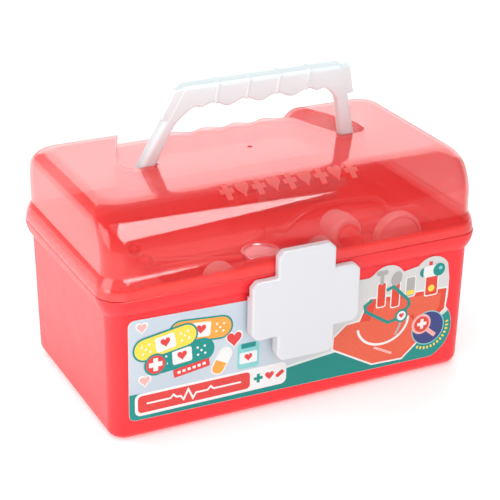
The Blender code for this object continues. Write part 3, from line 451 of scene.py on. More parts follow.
def clearPlastic(name, colour, roughness, facing, edgeOn, coat, ripple, look=None):
    # clear moulded plastic: lets light straight through, and closes up where it is seen edge on
    material, tree, shader = newMaterial(name)
    deep = (colour[0], colour[1] * 0.9, colour[2] * 0.9)
    body = ramp(tree, noise(tree, 18.0, 2.0, 0.5), [(0.35, deep), (0.65, colour)])
    scuff = remap(tree, noise(tree, 60.0, 5.0, 0.6), roughness * 0.6, roughness * 1.5)
    slant = addNode(tree, "ShaderNodeLayerWeight", {"Blend": 0.4}).outputs["Facing"]
    cover = remap(tree, slant, facing, edgeOn)
    if look:
        for heights, most in ((look["flange"], look["flangeCover"]), (look["lidEdge"], 1.0)):
            deeper = heightShare(tree, *heights, most, 0.0)
            cover = addNode(tree, "ShaderNodeMath", {0: cover, 1: deeper},
                            operation="MAXIMUM").outputs["Value"]
        # painted shade: the lid's lowest rim is darkened to a line where it meets the tub
        body = mixed(tree, heightShare(tree, *look["lidShadeBand"], 1.0, 0.0), body, look["shade"], "MULTIPLY")
    setSockets(tree, shader, {"Base Color": body, "Roughness": scuff, "Alpha": cover, "IOR": 1.5,
                              "Coat Weight": coat, "Coat Roughness": roughness, "Coat IOR": 1.7})
    bump(tree, shader, noise(tree, 22.0, 1.5, 0.4), ripple, 0.8 * mm)
    return material


def vinyl(tree, shader, colour, grain, smoothest, roughest):
    # glossy sticker with its ink, and the faint unevenness of print
    gloss = remap(tree, noise(tree, 40.0, 3.0, 0.5), smoothest, roughest)
    setSockets(tree, shader, {"Base Color": colour, "Roughness": gloss, "Specular IOR Level": 0.3,
                              "Coat Weight": 0.1, "Coat Roughness": 0.12})
    bump(tree, shader, grain, 0.04, 0.03 * mm)


def printedInk(name, colour):
    material, tree, shader = newMaterial(name)
    pale = tuple(min(c * 1.06 + 0.008, 1.0) for c in colour)
    dots = noise(tree, 900.0, 2.0, 0.6)
    vinyl(tree, shader, ramp(tree, dots, [(0.35, colour), (0.65, pale)]), dots, 0.289, 0.408)
    return material


def brushedMetal(name, colour, roughness, stretch):
    material, tree, shader = newMaterial(name)
    lines = noise(tree, 500.0, 3.0, 0.6, stretch)
    tone = ramp(tree, lines, [(0.3, tuple(c * 0.8 for c in colour)), (0.7, colour)])
    gloss = remap(tree, lines, roughness * 0.8, roughness * 1.3)
    setSockets(tree, shader, {"Base Color": tone, "Roughness": gloss, "Metallic": 1.0})
    bump(tree, shader, lines, 0.15, 0.03 * mm)
    return material


def finished(make, looks):
    return [make(name, *look) for name, look in looks.items()]


tubRed, handleWhite, latchWhite, toolRed, toolWhite = finished(mouldedPlastic, moulded)
lidRed, lidEdge, lidFrost, barrelClear = finished(clearPlastic, clear)
pinSteel, mirrorSilver = finished(brushedMetal, metals)
inks = {key: printedInk("ink" + key[0].upper() + key[1:], tone) for key, tone in inkTones.items()}
print("materials ready")


# straight rows of copies, made with geometry nodes

def rowTree(name):
    tree = bpy.data.node_groups.new(name, "GeometryNodeTree")
    sockets = {}
    for label, kind in (("Copies", "Int"), ("First Place", "Vector"), ("Step", "Vector"), ("Item", "Object"),
                        ("Finish", "Material")):
        socket = tree.interface.new_socket(label, in_out="INPUT", socket_type="NodeSocket" + kind)
        sockets[label] = socket.identifier
    tree.interface.new_socket("Result", in_out="OUTPUT", socket_type="NodeSocketGeometry")
    given = addNode(tree, "NodeGroupInput").outputs
    line = addNode(tree, "GeometryNodeMeshLine", {"Count": given["Copies"],
                                                  "Start Location": given["First Place"],
                                                  "Offset": given["Step"]}, mode="OFFSET")
    item = addNode(tree, "GeometryNodeObjectInfo", {"Object": given["Item"]})
    spread = addNode(tree, "GeometryNodeInstanceOnPoints", {"Points": line.outputs["Mesh"],
                                                            "Instance": item.outputs["Geometry"]})
    real = addNode(tree, "GeometryNodeRealizeInstances", {"Geometry": spread.outputs["Instances"]})
    paint = addNode(tree, "GeometryNodeSetMaterial", {"Geometry": real.outputs["Geometry"],
                                                      "Material": given["Finish"]})
    addNode(tree, "NodeGroupOutput", {"Result": paint.outputs["Geometry"]})
    return tree, sockets


rowNodes, rowSockets = rowTree("rowOfCopies")


def repeated(name, item, finish, copies, first, step):
    # a row of the item, kept as a plain mesh
    piece = addObject(name, bpy.data.meshes.new(name))
    row = piece.modifiers.new("repeat", "NODES")
    row.node_group = rowNodes
    for label, value in (("Copies", copies), ("First Place", first), ("Step", step), ("Item", item),
                         ("Finish", finish)):
        row[rowSockets[label]] = value
    bakeModifiers(piece)
    bpy.data.objects.remove(item)
    mesh = piece.data
    mesh.materials.clear()
    mesh.materials.append(finish)
    mesh.polygons.foreach_set("material_index", [0] * len(mesh.polygons))
    return piece


# the case's own sections

case = {
    "halfX": 125.0 * mm, "halfY": 74.5 * mm, "seam": 93.6 * mm, "seamGap": 0.3 * mm,
    "flangeReach": 12.0 * mm, "baseProud": 4.3 * mm, "lidProud": 3.7 * mm,
    "cornerSteps": 14, "flangeSteps": 12,
}
tubRim = case["seam"] - case["seamGap"] / 2
lidRim = case["seam"] + case["seamGap"] / 2
flangeFoot = case["seam"] - case["flangeReach"]


def bulge(proud, fromSeam):
    # how far the flange's round stands out at a distance from the seam
    if fromSeam >= case["flangeReach"]:
        return 0.0
    radius = (case["flangeReach"] ** 2 + proud ** 2) / (2 * proud)
    return math.sqrt(radius ** 2 - fromSeam ** 2) - (radius - proud)


def roundedRing(halfX, front, back, radius, z):
    return [Vector((x, y, z)) for x, y in roundedBar(halfX, back, radius, case["cornerSteps"], front)]


# red tub

tub = {
    "wall": 2.2 * mm, "floor": 2.4 * mm, "taperSide": 1.0 * mm, "taperFront": 1.9 * mm,
    "footRadius": 6.0 * mm, "cornerRadius": 10.5 * mm, "footSteps": 9, "soleInset": 1.5 * mm,
    "lipRadius": 0.5 * mm, "lipSteps": 3, "flangeLead": 1.0 * mm,
    "ledgeHalf": 30.0 * mm, "ledgeDepth": 4.0 * mm, "ledgeTop": 74.5 * mm, "ledgeHeight": 5.0 * mm,
}


def tubRing(z, inset):
    out = -inset
    if z > flangeFoot:
        out += bulge(case["baseProud"], max(case["seam"] - z, 0.0))
    slope = 1 - min(z, flangeFoot) / flangeFoot
    side = case["halfX"] - case["baseProud"] - tub["taperSide"] * slope + out
    front = case["halfY"] - case["baseProud"] - tub["taperFront"] * slope + out
    return roundedRing(side, front, front, max(tub["cornerRadius"] + out, tub["cornerRadius"] / 4), z)


def makeTub():
    # rings up the outside, over the lip and down the inside
    radius, lip, wall = tub["footRadius"], tub["lipRadius"], tub["wall"]
    bend = quarter(tub["footSteps"])
    lipFoot = tubRim - lip
    heights = [flangeFoot + (lipFoot - flangeFoot) * i / case["flangeSteps"]
               for i in range(case["flangeSteps"] + 1)]
    stack = [tubRing(0.0, radius + tub["soleInset"])]
    stack += [tubRing(radius * (1 - c), radius * (1 - s)) for s, c in bend]
    stack.append(tubRing(flangeFoot - tub["flangeLead"], 0.0))
    stack += [tubRing(z, 0.0) for z in heights]
    lipRings = [(lipFoot + lip * s, lip * (1 - c)) for s, c in quarter(tub["lipSteps"])[1:]]
    for z, inset in lipRings + [(tubRim, wall)]:
        stack.append([Vector((p.x, p.y, z)) for p in tubRing(lipFoot, inset)])
    stack += [tubRing(z, wall) for z in reversed(heights[:-1])]
    inner = radius - wall
    stack += [tubRing(tub["floor"] + inner * (1 - c), wall + inner * (1 - s)) for s, c in reversed(bend)]
    piece = skinRings("redTub", stack, tubRed)
    near = case["halfX"] - case["baseProud"] - wall - tub["ledgeDepth"]
    far = near + tub["ledgeDepth"] + wall / 2
    for low, high in ((-far, -near), (near, far)):
        weld(piece, block("ledge", (low, -tub["ledgeHalf"], tub["ledgeTop"] - tub["ledgeHeight"]),
                          (high, tub["ledgeHalf"], tub["ledgeTop"])))
    return piece


hinge = {
    "spacing": 140.0 * mm, "radius": 4.0 * mm, "y": 79.2 * mm, "middle": 10.0 * mm, "side": 7.0 * mm,
    "web": 3.2 * mm, "bore": 1.8 * mm, "gap": 0.3 * mm, "edge": 0.5 * mm, "tubSink": 1.6 * mm,
    "lidSink": 1.4 * mm,
}


def knuckle(start, end, webLow, webHigh, wallY, finish):
    # one hinge knuckle with its web to the flange and its bore
    y, z, edge = hinge["y"], case["seam"], hinge["edge"]
    body = roundEdges(rodAlongX("knuckle", hinge["radius"], start, end, y, z, 48, finish), edge, 2)
    weld(body, block("web", (start + edge, wallY, webLow), (end - edge, y, webHigh), finish))
    return cut(body, rodAlongX("bore", hinge["bore"], start - mm, end + mm, y, z, 32))


def makeHinges(name, spans, webLow, webHigh, sink, finish):
    # the knuckles of one part on both hinges; spans run along each hinge from its middle
    half = hinge["spacing"] / 2
    return join(name, [knuckle(middle + low, middle + high, webLow, webHigh, case["halfY"] - sink, finish)
                       for middle in (-half, half) for low, high in spans])


def makeTubHinges():
    half = hinge["middle"] / 2
    return makeHinges("tubHinges", [(-half, half)], tubRim - hinge["web"], tubRim, hinge["tubSink"], tubRed)


def makeLidHinges():
    near = hinge["middle"] / 2 + hinge["gap"]
    far = near + hinge["side"]
    return makeHinges("lidHinges", [(-far, -near), (near, far)], lidRim, lidRim + hinge["web"],
                      hinge["lidSink"],
                      lidRed)


latchSeat = {
    "y": -75.0 * mm, "z": 42.0 * mm, "radius": 2.4 * mm, "near": 5.8 * mm, "length": 6.0 * mm,
    "web": 1.5 * mm, "bore": 1.4 * mm,
}


def makeLatchBosses():
    made = []
    wallY = -(case["halfY"] - case["baseProud"] - tub["wall"] / 2)
    y, z, web = latchSeat["y"], latchSeat["z"], latchSeat["web"]
    near, far = latchSeat["near"], latchSeat["near"] + latchSeat["length"]
    for low, high in ((-far, -near), (near, far)):
        boss = rodAlongX("boss", latchSeat["radius"], low, high, y, z, 32, tubRed)
        weld(boss, block("bossWeb", (low, y, z - web), (high, wallY, z + web), tubRed))
        made.append(cut(boss, rodAlongX("bore", latchSeat["bore"], low - mm, high + mm, y, z, 24)))
    return join("latchBosses", made)


settle(smooth(makeTub()), "case", "case_red", "base_tub")
settle(smooth(makeTubHinges()), "case", "case_red")
settle(smooth(makeLatchBosses()), "case", "case_red")
print("tub made")


# clear lid

lid = {
    "top": 143.0 * mm, "wall": 1.8 * mm, "frontRadius": 27.5 * mm, "backRadius": 20.8 * mm,
    "endRadius": 11.0 * mm, "cornerRadius": 12.5 * mm, "shoulderSteps": 22, "recessFloor": 131.1 * mm,
    "recessFrontY": -3.68 * mm, "recessHalf": 82.0 * mm, "recessStraight": 17.0 * mm,
    "recessBackHalf": 58.0 * mm, "recessCorner": 8.0 * mm, "islandBack": 43.0 * mm, "scallop": 2.0 * mm,
    "pitch": 21.0 * mm, "islandHalf": 40.0 * mm, "footInner": 64.5 * mm, "sideGap": 2.5 * mm,
    "pivotY": 3.0 * mm, "pivotZ": 137.0 * mm, "neckX": 52.95 * mm, "pinBore": 2.7 * mm,
    "pinLength": 5.0 * mm, "dimpleRadius": 1.6 * mm, "dimpleDepth": 0.5 * mm, "rimRoll": 0.7 * mm,
    "crownRing": 1.2 * mm, "bendLead": 1.2 * mm, "bendSoft": 2.5 * mm, "wallSoft": 6.0 * mm,
    "outlineSteps": 48, "cutBelow": 5.0 * mm, "cutAbove": 6.0 * mm, "cutBehind": 8.0 * mm,
    "pinPlay": 0.3 * mm,
}
rimPick = {
    # the recess's top edges: between a wall, whose normal is level, and a face that looks up
    "wallLift": 0.05, "topLift": 0.3, "leastAngle": 50.0 * deg, "aboveFloor": 1.0 * mm,
}
motifs = {
    "pitch": 10.2 * mm, "halfWidth": 4.2 * mm, "halfHeight": 6.2 * mm, "bar": 1.7 * mm, "proud": 0.8 * mm,
    "root": 1.3 * mm, "tip": 4.0 * mm, "tilt": 23.6, "pluses": 5, "hearts": 4,
}


def lidRing(z, inset):
    # ring of the lid at a height: round flange, and shoulders that tuck in towards the top
    out = bulge(case["lidProud"], max(z - case["seam"], 0.0)) - inset

    def reach(half, radius):
        rounding = radius - inset
        above = z - (lid["top"] - inset - rounding)
        tuck = rounding - math.sqrt(max(rounding ** 2 - above ** 2, 0.0)) if above > 0 else 0.0
        return half - case["lidProud"] + out - tuck

    return roundedRing(reach(case["halfX"], lid["endRadius"]), reach(case["halfY"], lid["frontRadius"]),
                       reach(case["halfY"], lid["backRadius"]), lid["cornerRadius"] + out, z)


def lidSolid(name, bottom, inset):
    head = case["seam"] + case["flangeReach"]
    spring = lid["top"] - lid["frontRadius"]
    heights = [bottom] if bottom < lidRim else []
    heights += [lidRim + (head - lidRim) * i / case["flangeSteps"] for i in range(case["flangeSteps"] + 1)]
    heights += [spring + (lid["frontRadius"] - inset) * rise for rise, _ in quarter(lid["shoulderSteps"])]
    stack = [lidRing(z, inset) for z in heights]
    middle = Vector((0.0, 0.0, heights[-1]))
    stack.append([p + (middle - p).normalized() * lid["crownRing"] for p in stack[-1]])
    return skinRings(name, stack, lidRed)


def recessOutline(growth):
    # right half of the U-shaped recess: scalloped island, leg slot and the wall towards the back
    points = []
    scallop, back, front = lid["scallop"], lid["islandBack"] - growth, lid["recessFrontY"] - growth
    for i in range(lid["outlineSteps"] + 1):
        x = lid["islandHalf"] * i / lid["outlineSteps"]
        points.append((x, back - scallop * math.cos(2 * math.pi * x / lid["pitch"])))
    side = lid["sideGap"] - growth
    slot = lid["footInner"] - side - 2 * growth
    bend = [(points[-1][0] + lid["bendLead"], back - scallop),
            (lid["neckX"] - 3 * side - 2 * growth, back - scallop),
            (lid["neckX"] - side - 2 * growth, back - 3 * scallop), (slot, lid["pivotY"] - growth)]
    points += filletProfile(bend, lid["bendSoft"], 5)
    points.append((slot, front))
    radius = lid["recessCorner"] + growth
    outer = lid["recessHalf"] + growth
    points += arc(outer - radius, front + radius, radius, -90.0, 0.0, 10)
    wallBack = lid["recessBackHalf"] + growth
    rear = case["halfY"] - case["lidProud"]
    wallLine = [(outer, lid["recessFrontY"] + radius), (outer, lid["recessFrontY"] + lid["recessStraight"]),
                (wallBack, rear)]
    points += filletProfile(wallLine, lid["wallSoft"], 6)[1:]
    points.append((wallBack, rear + lid["cutBehind"]))
    return points


def recessPrism(name, growth):
    half = recessOutline(growth)
    outline = half + [(-x, y) for x, y in reversed(half[1:])]
    low = lid["recessFloor"] - growth
    high = lid["top"] + lid["cutAbove"]
    return plate(name, outline, high - low, at(0.0, 0.0, (low + high) / 2), lidRed)


def softenRecess(piece):
    # rolls the recess's top edge over; the roll is thick plastic seen edge on
    piece.data.materials.append(lidEdge)
    bm = bmesh.new()
    bm.from_mesh(piece.data)
    edges = []
    for edge in bm.edges:
        foot = min(corner.co.z for corner in edge.verts)
        if len(edge.link_faces) != 2 or foot < lid["recessFloor"] + rimPick["aboveFloor"]:
            continue
        wallLift, topLift = sorted(abs(face.normal.z) for face in edge.link_faces)
        sharp = edge.calc_face_angle(0.0) > rimPick["leastAngle"]
        if sharp and wallLift < rimPick["wallLift"] and topLift > rimPick["topLift"]:
            edges.append(edge)
    bmesh.ops.bevel(bm, geom=edges, offset=lid["rimRoll"], segments=2, profile=0.5, affect="EDGES",
                    clamp_overlap=False, material=1)
    bm.to_mesh(piece.data)
    bm.free()


def plusOutline(wide, high, bar):
    return [(wide, -bar), (wide, bar), (bar, bar), (bar, high), (-bar, high), (-bar, bar), (-wide, bar),
            (-wide, -bar), (-bar, -bar), (-bar, -high), (bar, -high), (bar, -bar)]


def heartOutline(wide, high, steps=26):
    # smooth heart that fills the given half width and half height
    points = []
    for i in range(steps):
        t = 2 * math.pi * i / steps
        x = 16 * math.sin(t) ** 3
        y = 13 * math.cos(t) - 5 * math.cos(2 * t) - 2 * math.cos(3 * t) - math.cos(4 * t)
        points.append((x / 16.0 * wide, (y + 2.5) / 14.5 * high))
    return points[::-1]


def makeMotifs():
    # raised plus signs and hearts in turn along the front shoulder, cut to its curve
    halfY = case["halfY"] - case["lidProud"]
    low = lid["frontRadius"] - motifs["root"]
    high = lid["frontRadius"] + motifs["tip"]
    spot = (at(0.0, -(halfY - lid["frontRadius"]), lid["top"] - lid["frontRadius"])
            @ spin(motifs["tilt"], "X") @ at(0.0, 0.0, (low + high) / 2))
    made = []
    shapes = ((motifs["pluses"], plusOutline(motifs["halfWidth"], motifs["halfHeight"], motifs["bar"])),
              (motifs["hearts"], heartOutline(motifs["halfWidth"], motifs["halfHeight"])))
    for count, outline in shapes:
        item = plate("motifItem", outline, high - low, spot, lidFrost)
        made.append(repeated("motifRow", item, lidFrost, count, (-(count - 1) * motifs["pitch"], 0.0, 0.0),
                             (2 * motifs["pitch"], 0.0, 0.0)))
    row = join("motifRow", made)
    skin = lidSolid("motifSkin", lidRim, -motifs["proud"])
    skin.data.materials[0] = lidFrost
    return combine(row, skin, "INTERSECT")


def makeLid():
    piece = lidSolid("clearLid", lidRim, 0.0)
    cut(piece, recessPrism("recess", 0.0))
    softenRecess(piece)
    hollow = lidSolid("lidHollow", lidRim - lid["cutBelow"], lid["wall"])
    cut(hollow, recessPrism("recessWall", lid["wall"]))
    cut(piece, hollow)
    weld(piece, makeMotifs())
    # small gate mark in the middle of the top
    dimple = rodAlongX("dimple", lid["dimpleRadius"], 0.0, 1.0 * mm, 0.0, 0.0, 24, lidEdge)
    dimple.data.transform(at(1.0 * mm, 1.0 * mm, lid["top"] - lid["dimpleDepth"]) @ spin(-90.0, "Y"))
    cut(piece, dimple)
    near, far = lid["footInner"] - lid["pinLength"] - lid["wall"], lid["footInner"] + lid["pinPlay"]
    for low, high in ((-far, -near), (near, far)):
        cut(piece, rodAlongX("pinBore", lid["pinBore"], low, high, lid["pivotY"], lid["pivotZ"], 32))
    return piece


settle(smooth(makeLid()), "lid", "lid_clear_red", "lid_shell")
settle(smooth(makeLidHinges()), "lid", "lid_clear_red")
print("lid made")


# white handle

handle = {
    "lean": 19.0, "thick": 8.0 * mm, "pivotY": 3.0 * mm, "pivotZ": 137.0 * mm, "footInner": 64.5 * mm,
    "footOuter": 75.0 * mm, "shoulderV": 35.0 * mm, "shoulderInner": 54.0 * mm, "shoulderOuter": 62.5 * mm,
    "cornerX": 54.0 * mm, "topV": 62.0 * mm, "cornerRadius": 4.0 * mm, "neckX": 40.0 * mm,
    "gripV": 45.5 * mm, "scallop": 2.0 * mm, "pitch": 21.0 * mm, "edge": 2.6 * mm, "edgeSteps": 6,
    "ribWidth": 2.6 * mm, "ribProud": 0.5 * mm, "ribs": 4, "ribFirst": -30.0 * mm, "ribStep": 20.0 * mm,
    "blockProud": 3.2 * mm, "blockFootV": 39.0 * mm, "blockDrop": 1.0 * mm, "pinRadius": 2.4 * mm,
    "pinLength": 5.0 * mm, "footSoft": 2.2 * mm, "blockSoft": 0.7 * mm, "ribSoft": 1.0 * mm,
    "outlineSteps": 40, "turnSoft": 5.0 * mm, "footShy": (0.03 * mm, 0.02 * mm), "pinRoot": 2.4 * mm,
    "blockRoot": 3.0 * mm, "blockLift": 1.0 * mm, "blockSink": 0.3 * mm, "ribRoot": 0.5 * mm,
}


def handleOutline():
    # right half of the bail in its own plane: x across, v up from the pivot
    h = handle
    points = []
    for i in range(h["outlineSteps"] + 1):
        x = (h["neckX"] - 3.2 * h["scallop"]) * i / h["outlineSteps"]
        points.append((x, h["gripV"] - h["scallop"] * math.cos(2 * math.pi * x / h["pitch"])))
    turn = [points[-1], (h["neckX"] - 0.7 * h["scallop"], h["gripV"] - 0.55 * h["scallop"]),
            (h["neckX"] + 1.5 * h["scallop"], h["gripV"] + 0.6 * h["scallop"]),
            (h["shoulderInner"] - 2 * h["scallop"], (h["gripV"] + h["shoulderV"]) / 2),
            (h["shoulderInner"], h["shoulderV"]), (h["footInner"], 0.0)]
    points = points[:-1] + filletProfile(turn, h["turnSoft"], 6)
    outside = [(h["footOuter"], 0.0), (h["shoulderOuter"], h["shoulderV"])]
    outside += arc(h["cornerX"] - h["cornerRadius"], h["topV"] - h["cornerRadius"], h["cornerRadius"], 15.0,
                   90.0, 7)
    return points + outside


def makeHandle():
    h = handle
    half = handleOutline()
    outline = half + [(-x, v) for x, v in reversed(half[1:])]
    upright = spin(90.0, "X")
    piece = roundedPlate("carryHandle", outline, h["thick"], h["edge"], h["edgeSteps"], upright, handleWhite)
    halfThick = h["thick"] / 2
    thinner, shorter = h["footShy"]
    for side in (-1, 1):
        low, high = sorted((side * h["footInner"], side * h["footOuter"]))
        foot = rodAlongX("foot", halfThick - thinner, low + shorter, high - shorter, 0.0, 0.0, 60,
                         handleWhite)
        weld(piece, roundEdges(foot, h["footSoft"], 5))
        low, high = sorted((side * (h["footInner"] - h["pinLength"]), side * (h["footInner"] + h["pinRoot"])))
        weld(piece, rodAlongX("pin", h["pinRadius"], low, high, 0.0, 0.0, 32, handleWhite))
    slope = (h["shoulderOuter"] - h["cornerX"]) / (h["topV"] - h["shoulderV"])

    def legEdge(v):
        return h["shoulderOuter"] - slope * (v - h["shoulderV"])

    low = h["blockFootV"]
    high = h["topV"] - h["blockDrop"]
    corners = [(legEdge(low) - h["blockRoot"], low), (legEdge(low) + h["blockProud"], low + h["blockLift"]),
               (legEdge(high) + h["blockProud"], high), (legEdge(high) - h["blockRoot"], high)]
    for side in (-1, 1):
        raised = plate("cornerBlock", [(side * x, v) for x, v in corners], halfThick,
                       at(0.0, h["blockSink"] - halfThick / 2, 0.0) @ upright, handleWhite)
        weld(piece, roundEdges(raised, h["blockSoft"], 3))
    first = h["ribFirst"]
    rib = block("gripRib", (first - h["ribWidth"] / 2, -halfThick - h["ribProud"], h["gripV"] + h["scallop"]),
                (first + h["ribWidth"] / 2, halfThick - h["ribRoot"], h["topV"] + h["ribProud"]), handleWhite)
    ribs = repeated("gripRibs", roundEdges(rib, h["ribSoft"], 3), handleWhite, h["ribs"], (0.0, 0.0, 0.0),
                    (h["ribStep"], 0.0, 0.0))
    weld(piece, ribs)
    piece.data.transform(at(0.0, h["pivotY"], h["pivotZ"]) @ spin(h["lean"], "X"))
    return piece


settle(smooth(makeHandle(), 38.0), "handle", "handle_white", "carry_handle")
print("handle made")


# cross latch

cross = {
    "span": 71.6 * mm, "arm": 38.0 * mm, "middleZ": 72.7 * mm, "frontY": -79.7 * mm, "plate": 2.0 * mm,
    "skirt": 7.0 * mm, "skirtWall": 2.0 * mm, "corner": 3.6 * mm, "edge": 1.4 * mm, "edgeSteps": 6,
    "flangeY": -75.1 * mm, "reliefZ": 81.0 * mm, "heelDepth": 4.0 * mm, "barrel": 2.4 * mm,
    "barrelHalf": 5.5 * mm, "soft": 0.9 * mm, "faceRing": 0.8 * mm, "cutBehind": 5.0 * mm,
}


def crossRing(inset, y):
    # ring of the cross in its upright plane, every corner softened
    arm = cross["arm"] / 2 - inset
    span = cross["span"] / 2 - inset
    bevel = cross["corner"] - inset * (2 - math.sqrt(2.0))
    soft = cross["soft"]
    near, far = arm + soft, span - bevel
    corner = filletProfile([(span, 0.0), (span, arm - bevel), (far, arm), (near, arm)], soft, 3)[1:]
    inner = arc(near, near, soft, 270.0, 180.0, 3)
    rest = filletProfile([(arm, near), (arm, far), (arm - bevel, span), (0.0, span)], soft, 3)[1:-1]
    points = []
    for turn in range(4):
        points += turned(corner[:-1] + inner + rest, 90.0 * turn, 0.0, cross["middleZ"])
    return [Vector((x, y, z)) for x, z in points]


def makeCross():
    c = cross
    rear = c["frontY"] + c["skirt"]
    behind = rear + c["cutBehind"]
    stack = [crossRing(0.0, rear)]
    stack += [crossRing(c["edge"] * (1 - near), c["frontY"] + c["edge"] * (1 - out))
              for out, near in quarter(c["edgeSteps"])]
    stack.append(crossRing(c["edge"] + c["faceRing"], c["frontY"]))
    piece = skinRings("crossLatch", stack, latchWhite)
    wide, half = c["span"], c["barrelHalf"]
    pinY, pinZ, web = latchSeat["y"], latchSeat["z"], latchSeat["web"]
    hollow = skinRings("hollow", [crossRing(c["skirtWall"], y) for y in (c["frontY"] + c["plate"], behind)])
    relief = block("relief", (-wide, c["flangeY"], c["reliefZ"]), (wide, behind, 0.2))
    heel = block("heel", (-wide, c["frontY"] + c["heelDepth"], 0.0), (wide, behind, pinZ))
    for cutter in (hollow, relief, heel):
        cut(piece, cutter)
    weld(piece, block("barrelWeb", (-half, c["frontY"] + c["plate"] / 2, pinZ - web),
                      (half, pinY, pinZ + web), latchWhite))
    weld(piece, rodAlongX("barrel", c["barrel"], -half, half, pinY, pinZ, 32, latchWhite))
    return cut(piece, rodAlongX("bore", latchSeat["bore"], -half - mm, half + mm, pinY, pinZ, 24))


settle(smooth(makeCross()), "latch", "latch_white", "latch_cross")
print("cross made")


# printed label

label = {
    "thick": 0.3 * mm, "halfWidth": 110.0 * mm, "bottom": 13.0 * mm, "top": 79.0 * mm, "corner": 4.0 * mm,
    "lobeTop": 81.2 * mm, "lobeRadius": 13.0 * mm, "lobeX": (60.5 * mm, 92.4 * mm), "medalX": 88.0 * mm,
    "medalZ": 30.5 * mm, "medalRadius": 21.5 * mm, "layer": 0.03 * mm, "margin": 0.12 * mm,
    "footY": -68.75 * mm, "slope": math.atan2(1.9, 81.6), "bossHalf": 12.4 * mm, "bossReach": 3.0 * mm,
    "plusSize": 1.3 * mm, "plusBar": 0.42 * mm, "pluses": 9, "plusX": -28.0 * mm, "plusZ": 75.4 * mm,
    "plusStep": -7.0 * mm,
}
labelPlace = at(0.0, label["footY"], 0.0) @ Matrix.Rotation(label["slope"], 4, "X") @ spin(90.0, "X")


def labelOutline():
    s = label
    left = -s["halfWidth"]
    lobeY = s["lobeTop"] - s["lobeRadius"]
    points = arc(left + s["corner"], s["top"] - s["corner"], s["corner"], 180.0, 90.0, 8)
    points.append((s["lobeX"][0] - s["lobeRadius"], s["top"] - s["corner"]))
    for x in s["lobeX"]:
        points += arc(x, lobeY, s["lobeRadius"], 140.0, 30.0, 18)
    edge = s["lobeX"][1] + s["lobeRadius"]
    points += [(edge, lobeY - s["corner"]), (edge, s["medalZ"] + s["medalRadius"])]
    points += arc(s["medalX"], s["medalZ"], s["medalRadius"], 40.0, -70.0, 26)
    points += arc(left + s["corner"], s["bottom"] + s["corner"], s["corner"], 270.0, 180.0, 8)
    return points


field = {
    # a slow wave, rising to the right, with a pale stripe on it; the paper turns warmer in the middle
    "waveTurns": 19.0, "waveHeight": 2.0 * mm, "start": 112.0 * mm, "slope": 0.070, "foot": 17.5 * mm,
    "stripe": 1.6 * mm, "warmEnds": (-30.0 * mm, 30.0 * mm),
    "paper": [(0.35, (0.505, 0.585, 0.665)), (0.65, (0.575, 0.645, 0.705))], "warm": (0.66, 0.65, 0.64),
    "pale": (0.72, 0.80, 0.76), "teal": (0.0, 0.235, 0.205),
}


def fieldMaterial():
    material, tree, shader = newMaterial("labelField")

    def calc(operation, first, second=0.0):
        return addNode(tree, "ShaderNodeMath", {0: first, 1: second}, operation=operation).outputs["Value"]

    x, z = ownAxis(tree, "X"), ownAxis(tree, "Z")
    wave = calc("MULTIPLY", calc("SINE", calc("MULTIPLY_ADD", x, field["waveTurns"])), field["waveHeight"])
    rise = calc("MULTIPLY", calc("ADD", x, field["start"]), field["slope"])
    edge = calc("ADD", calc("ADD", wave, rise), field["foot"])
    colour = ramp(tree, noise(tree, 14.0, 2.0, 0.5), field["paper"])
    colour = mixed(tree, remap(tree, x, 0.0, 1.0, *field["warmEnds"]), colour, field["warm"])
    colour = mixed(tree, calc("LESS_THAN", z, calc("ADD", edge, field["stripe"])), colour, field["pale"])
    colour = mixed(tree, calc("LESS_THAN", z, edge), colour, field["teal"])
    vinyl(tree, shader, colour, noise(tree, 900.0, 2.0, 0.6), 0.28, 0.40)
    return material


labelField = fieldMaterial()


def disc(radius, steps=40):
    return arc(0.0, 0.0, radius, 0.0, 360.0 - 360.0 / steps, steps - 1)


def stroke(points, width):
    # outline of a line of even width through the points, mitred where it turns
    left, right = [], []
    for i, point in enumerate(points):
        here = Vector(point)
        before = (here - Vector(points[i - 1])).normalized() if i else None
        after = (Vector(points[i + 1]) - here).normalized() if i < len(points) - 1 else None
        first, second = before or after, after or before
        a, b = Vector((-first.y, first.x)), Vector((-second.y, second.x))
        middle = (a + b).normalized()
        across = middle * width / 2 / max(middle.dot(a), 0.3)
        left.append((point[0] + across.x, point[1] + across.y))
        right.append((point[0] - across.x, point[1] - across.y))
    return right + left[::-1]


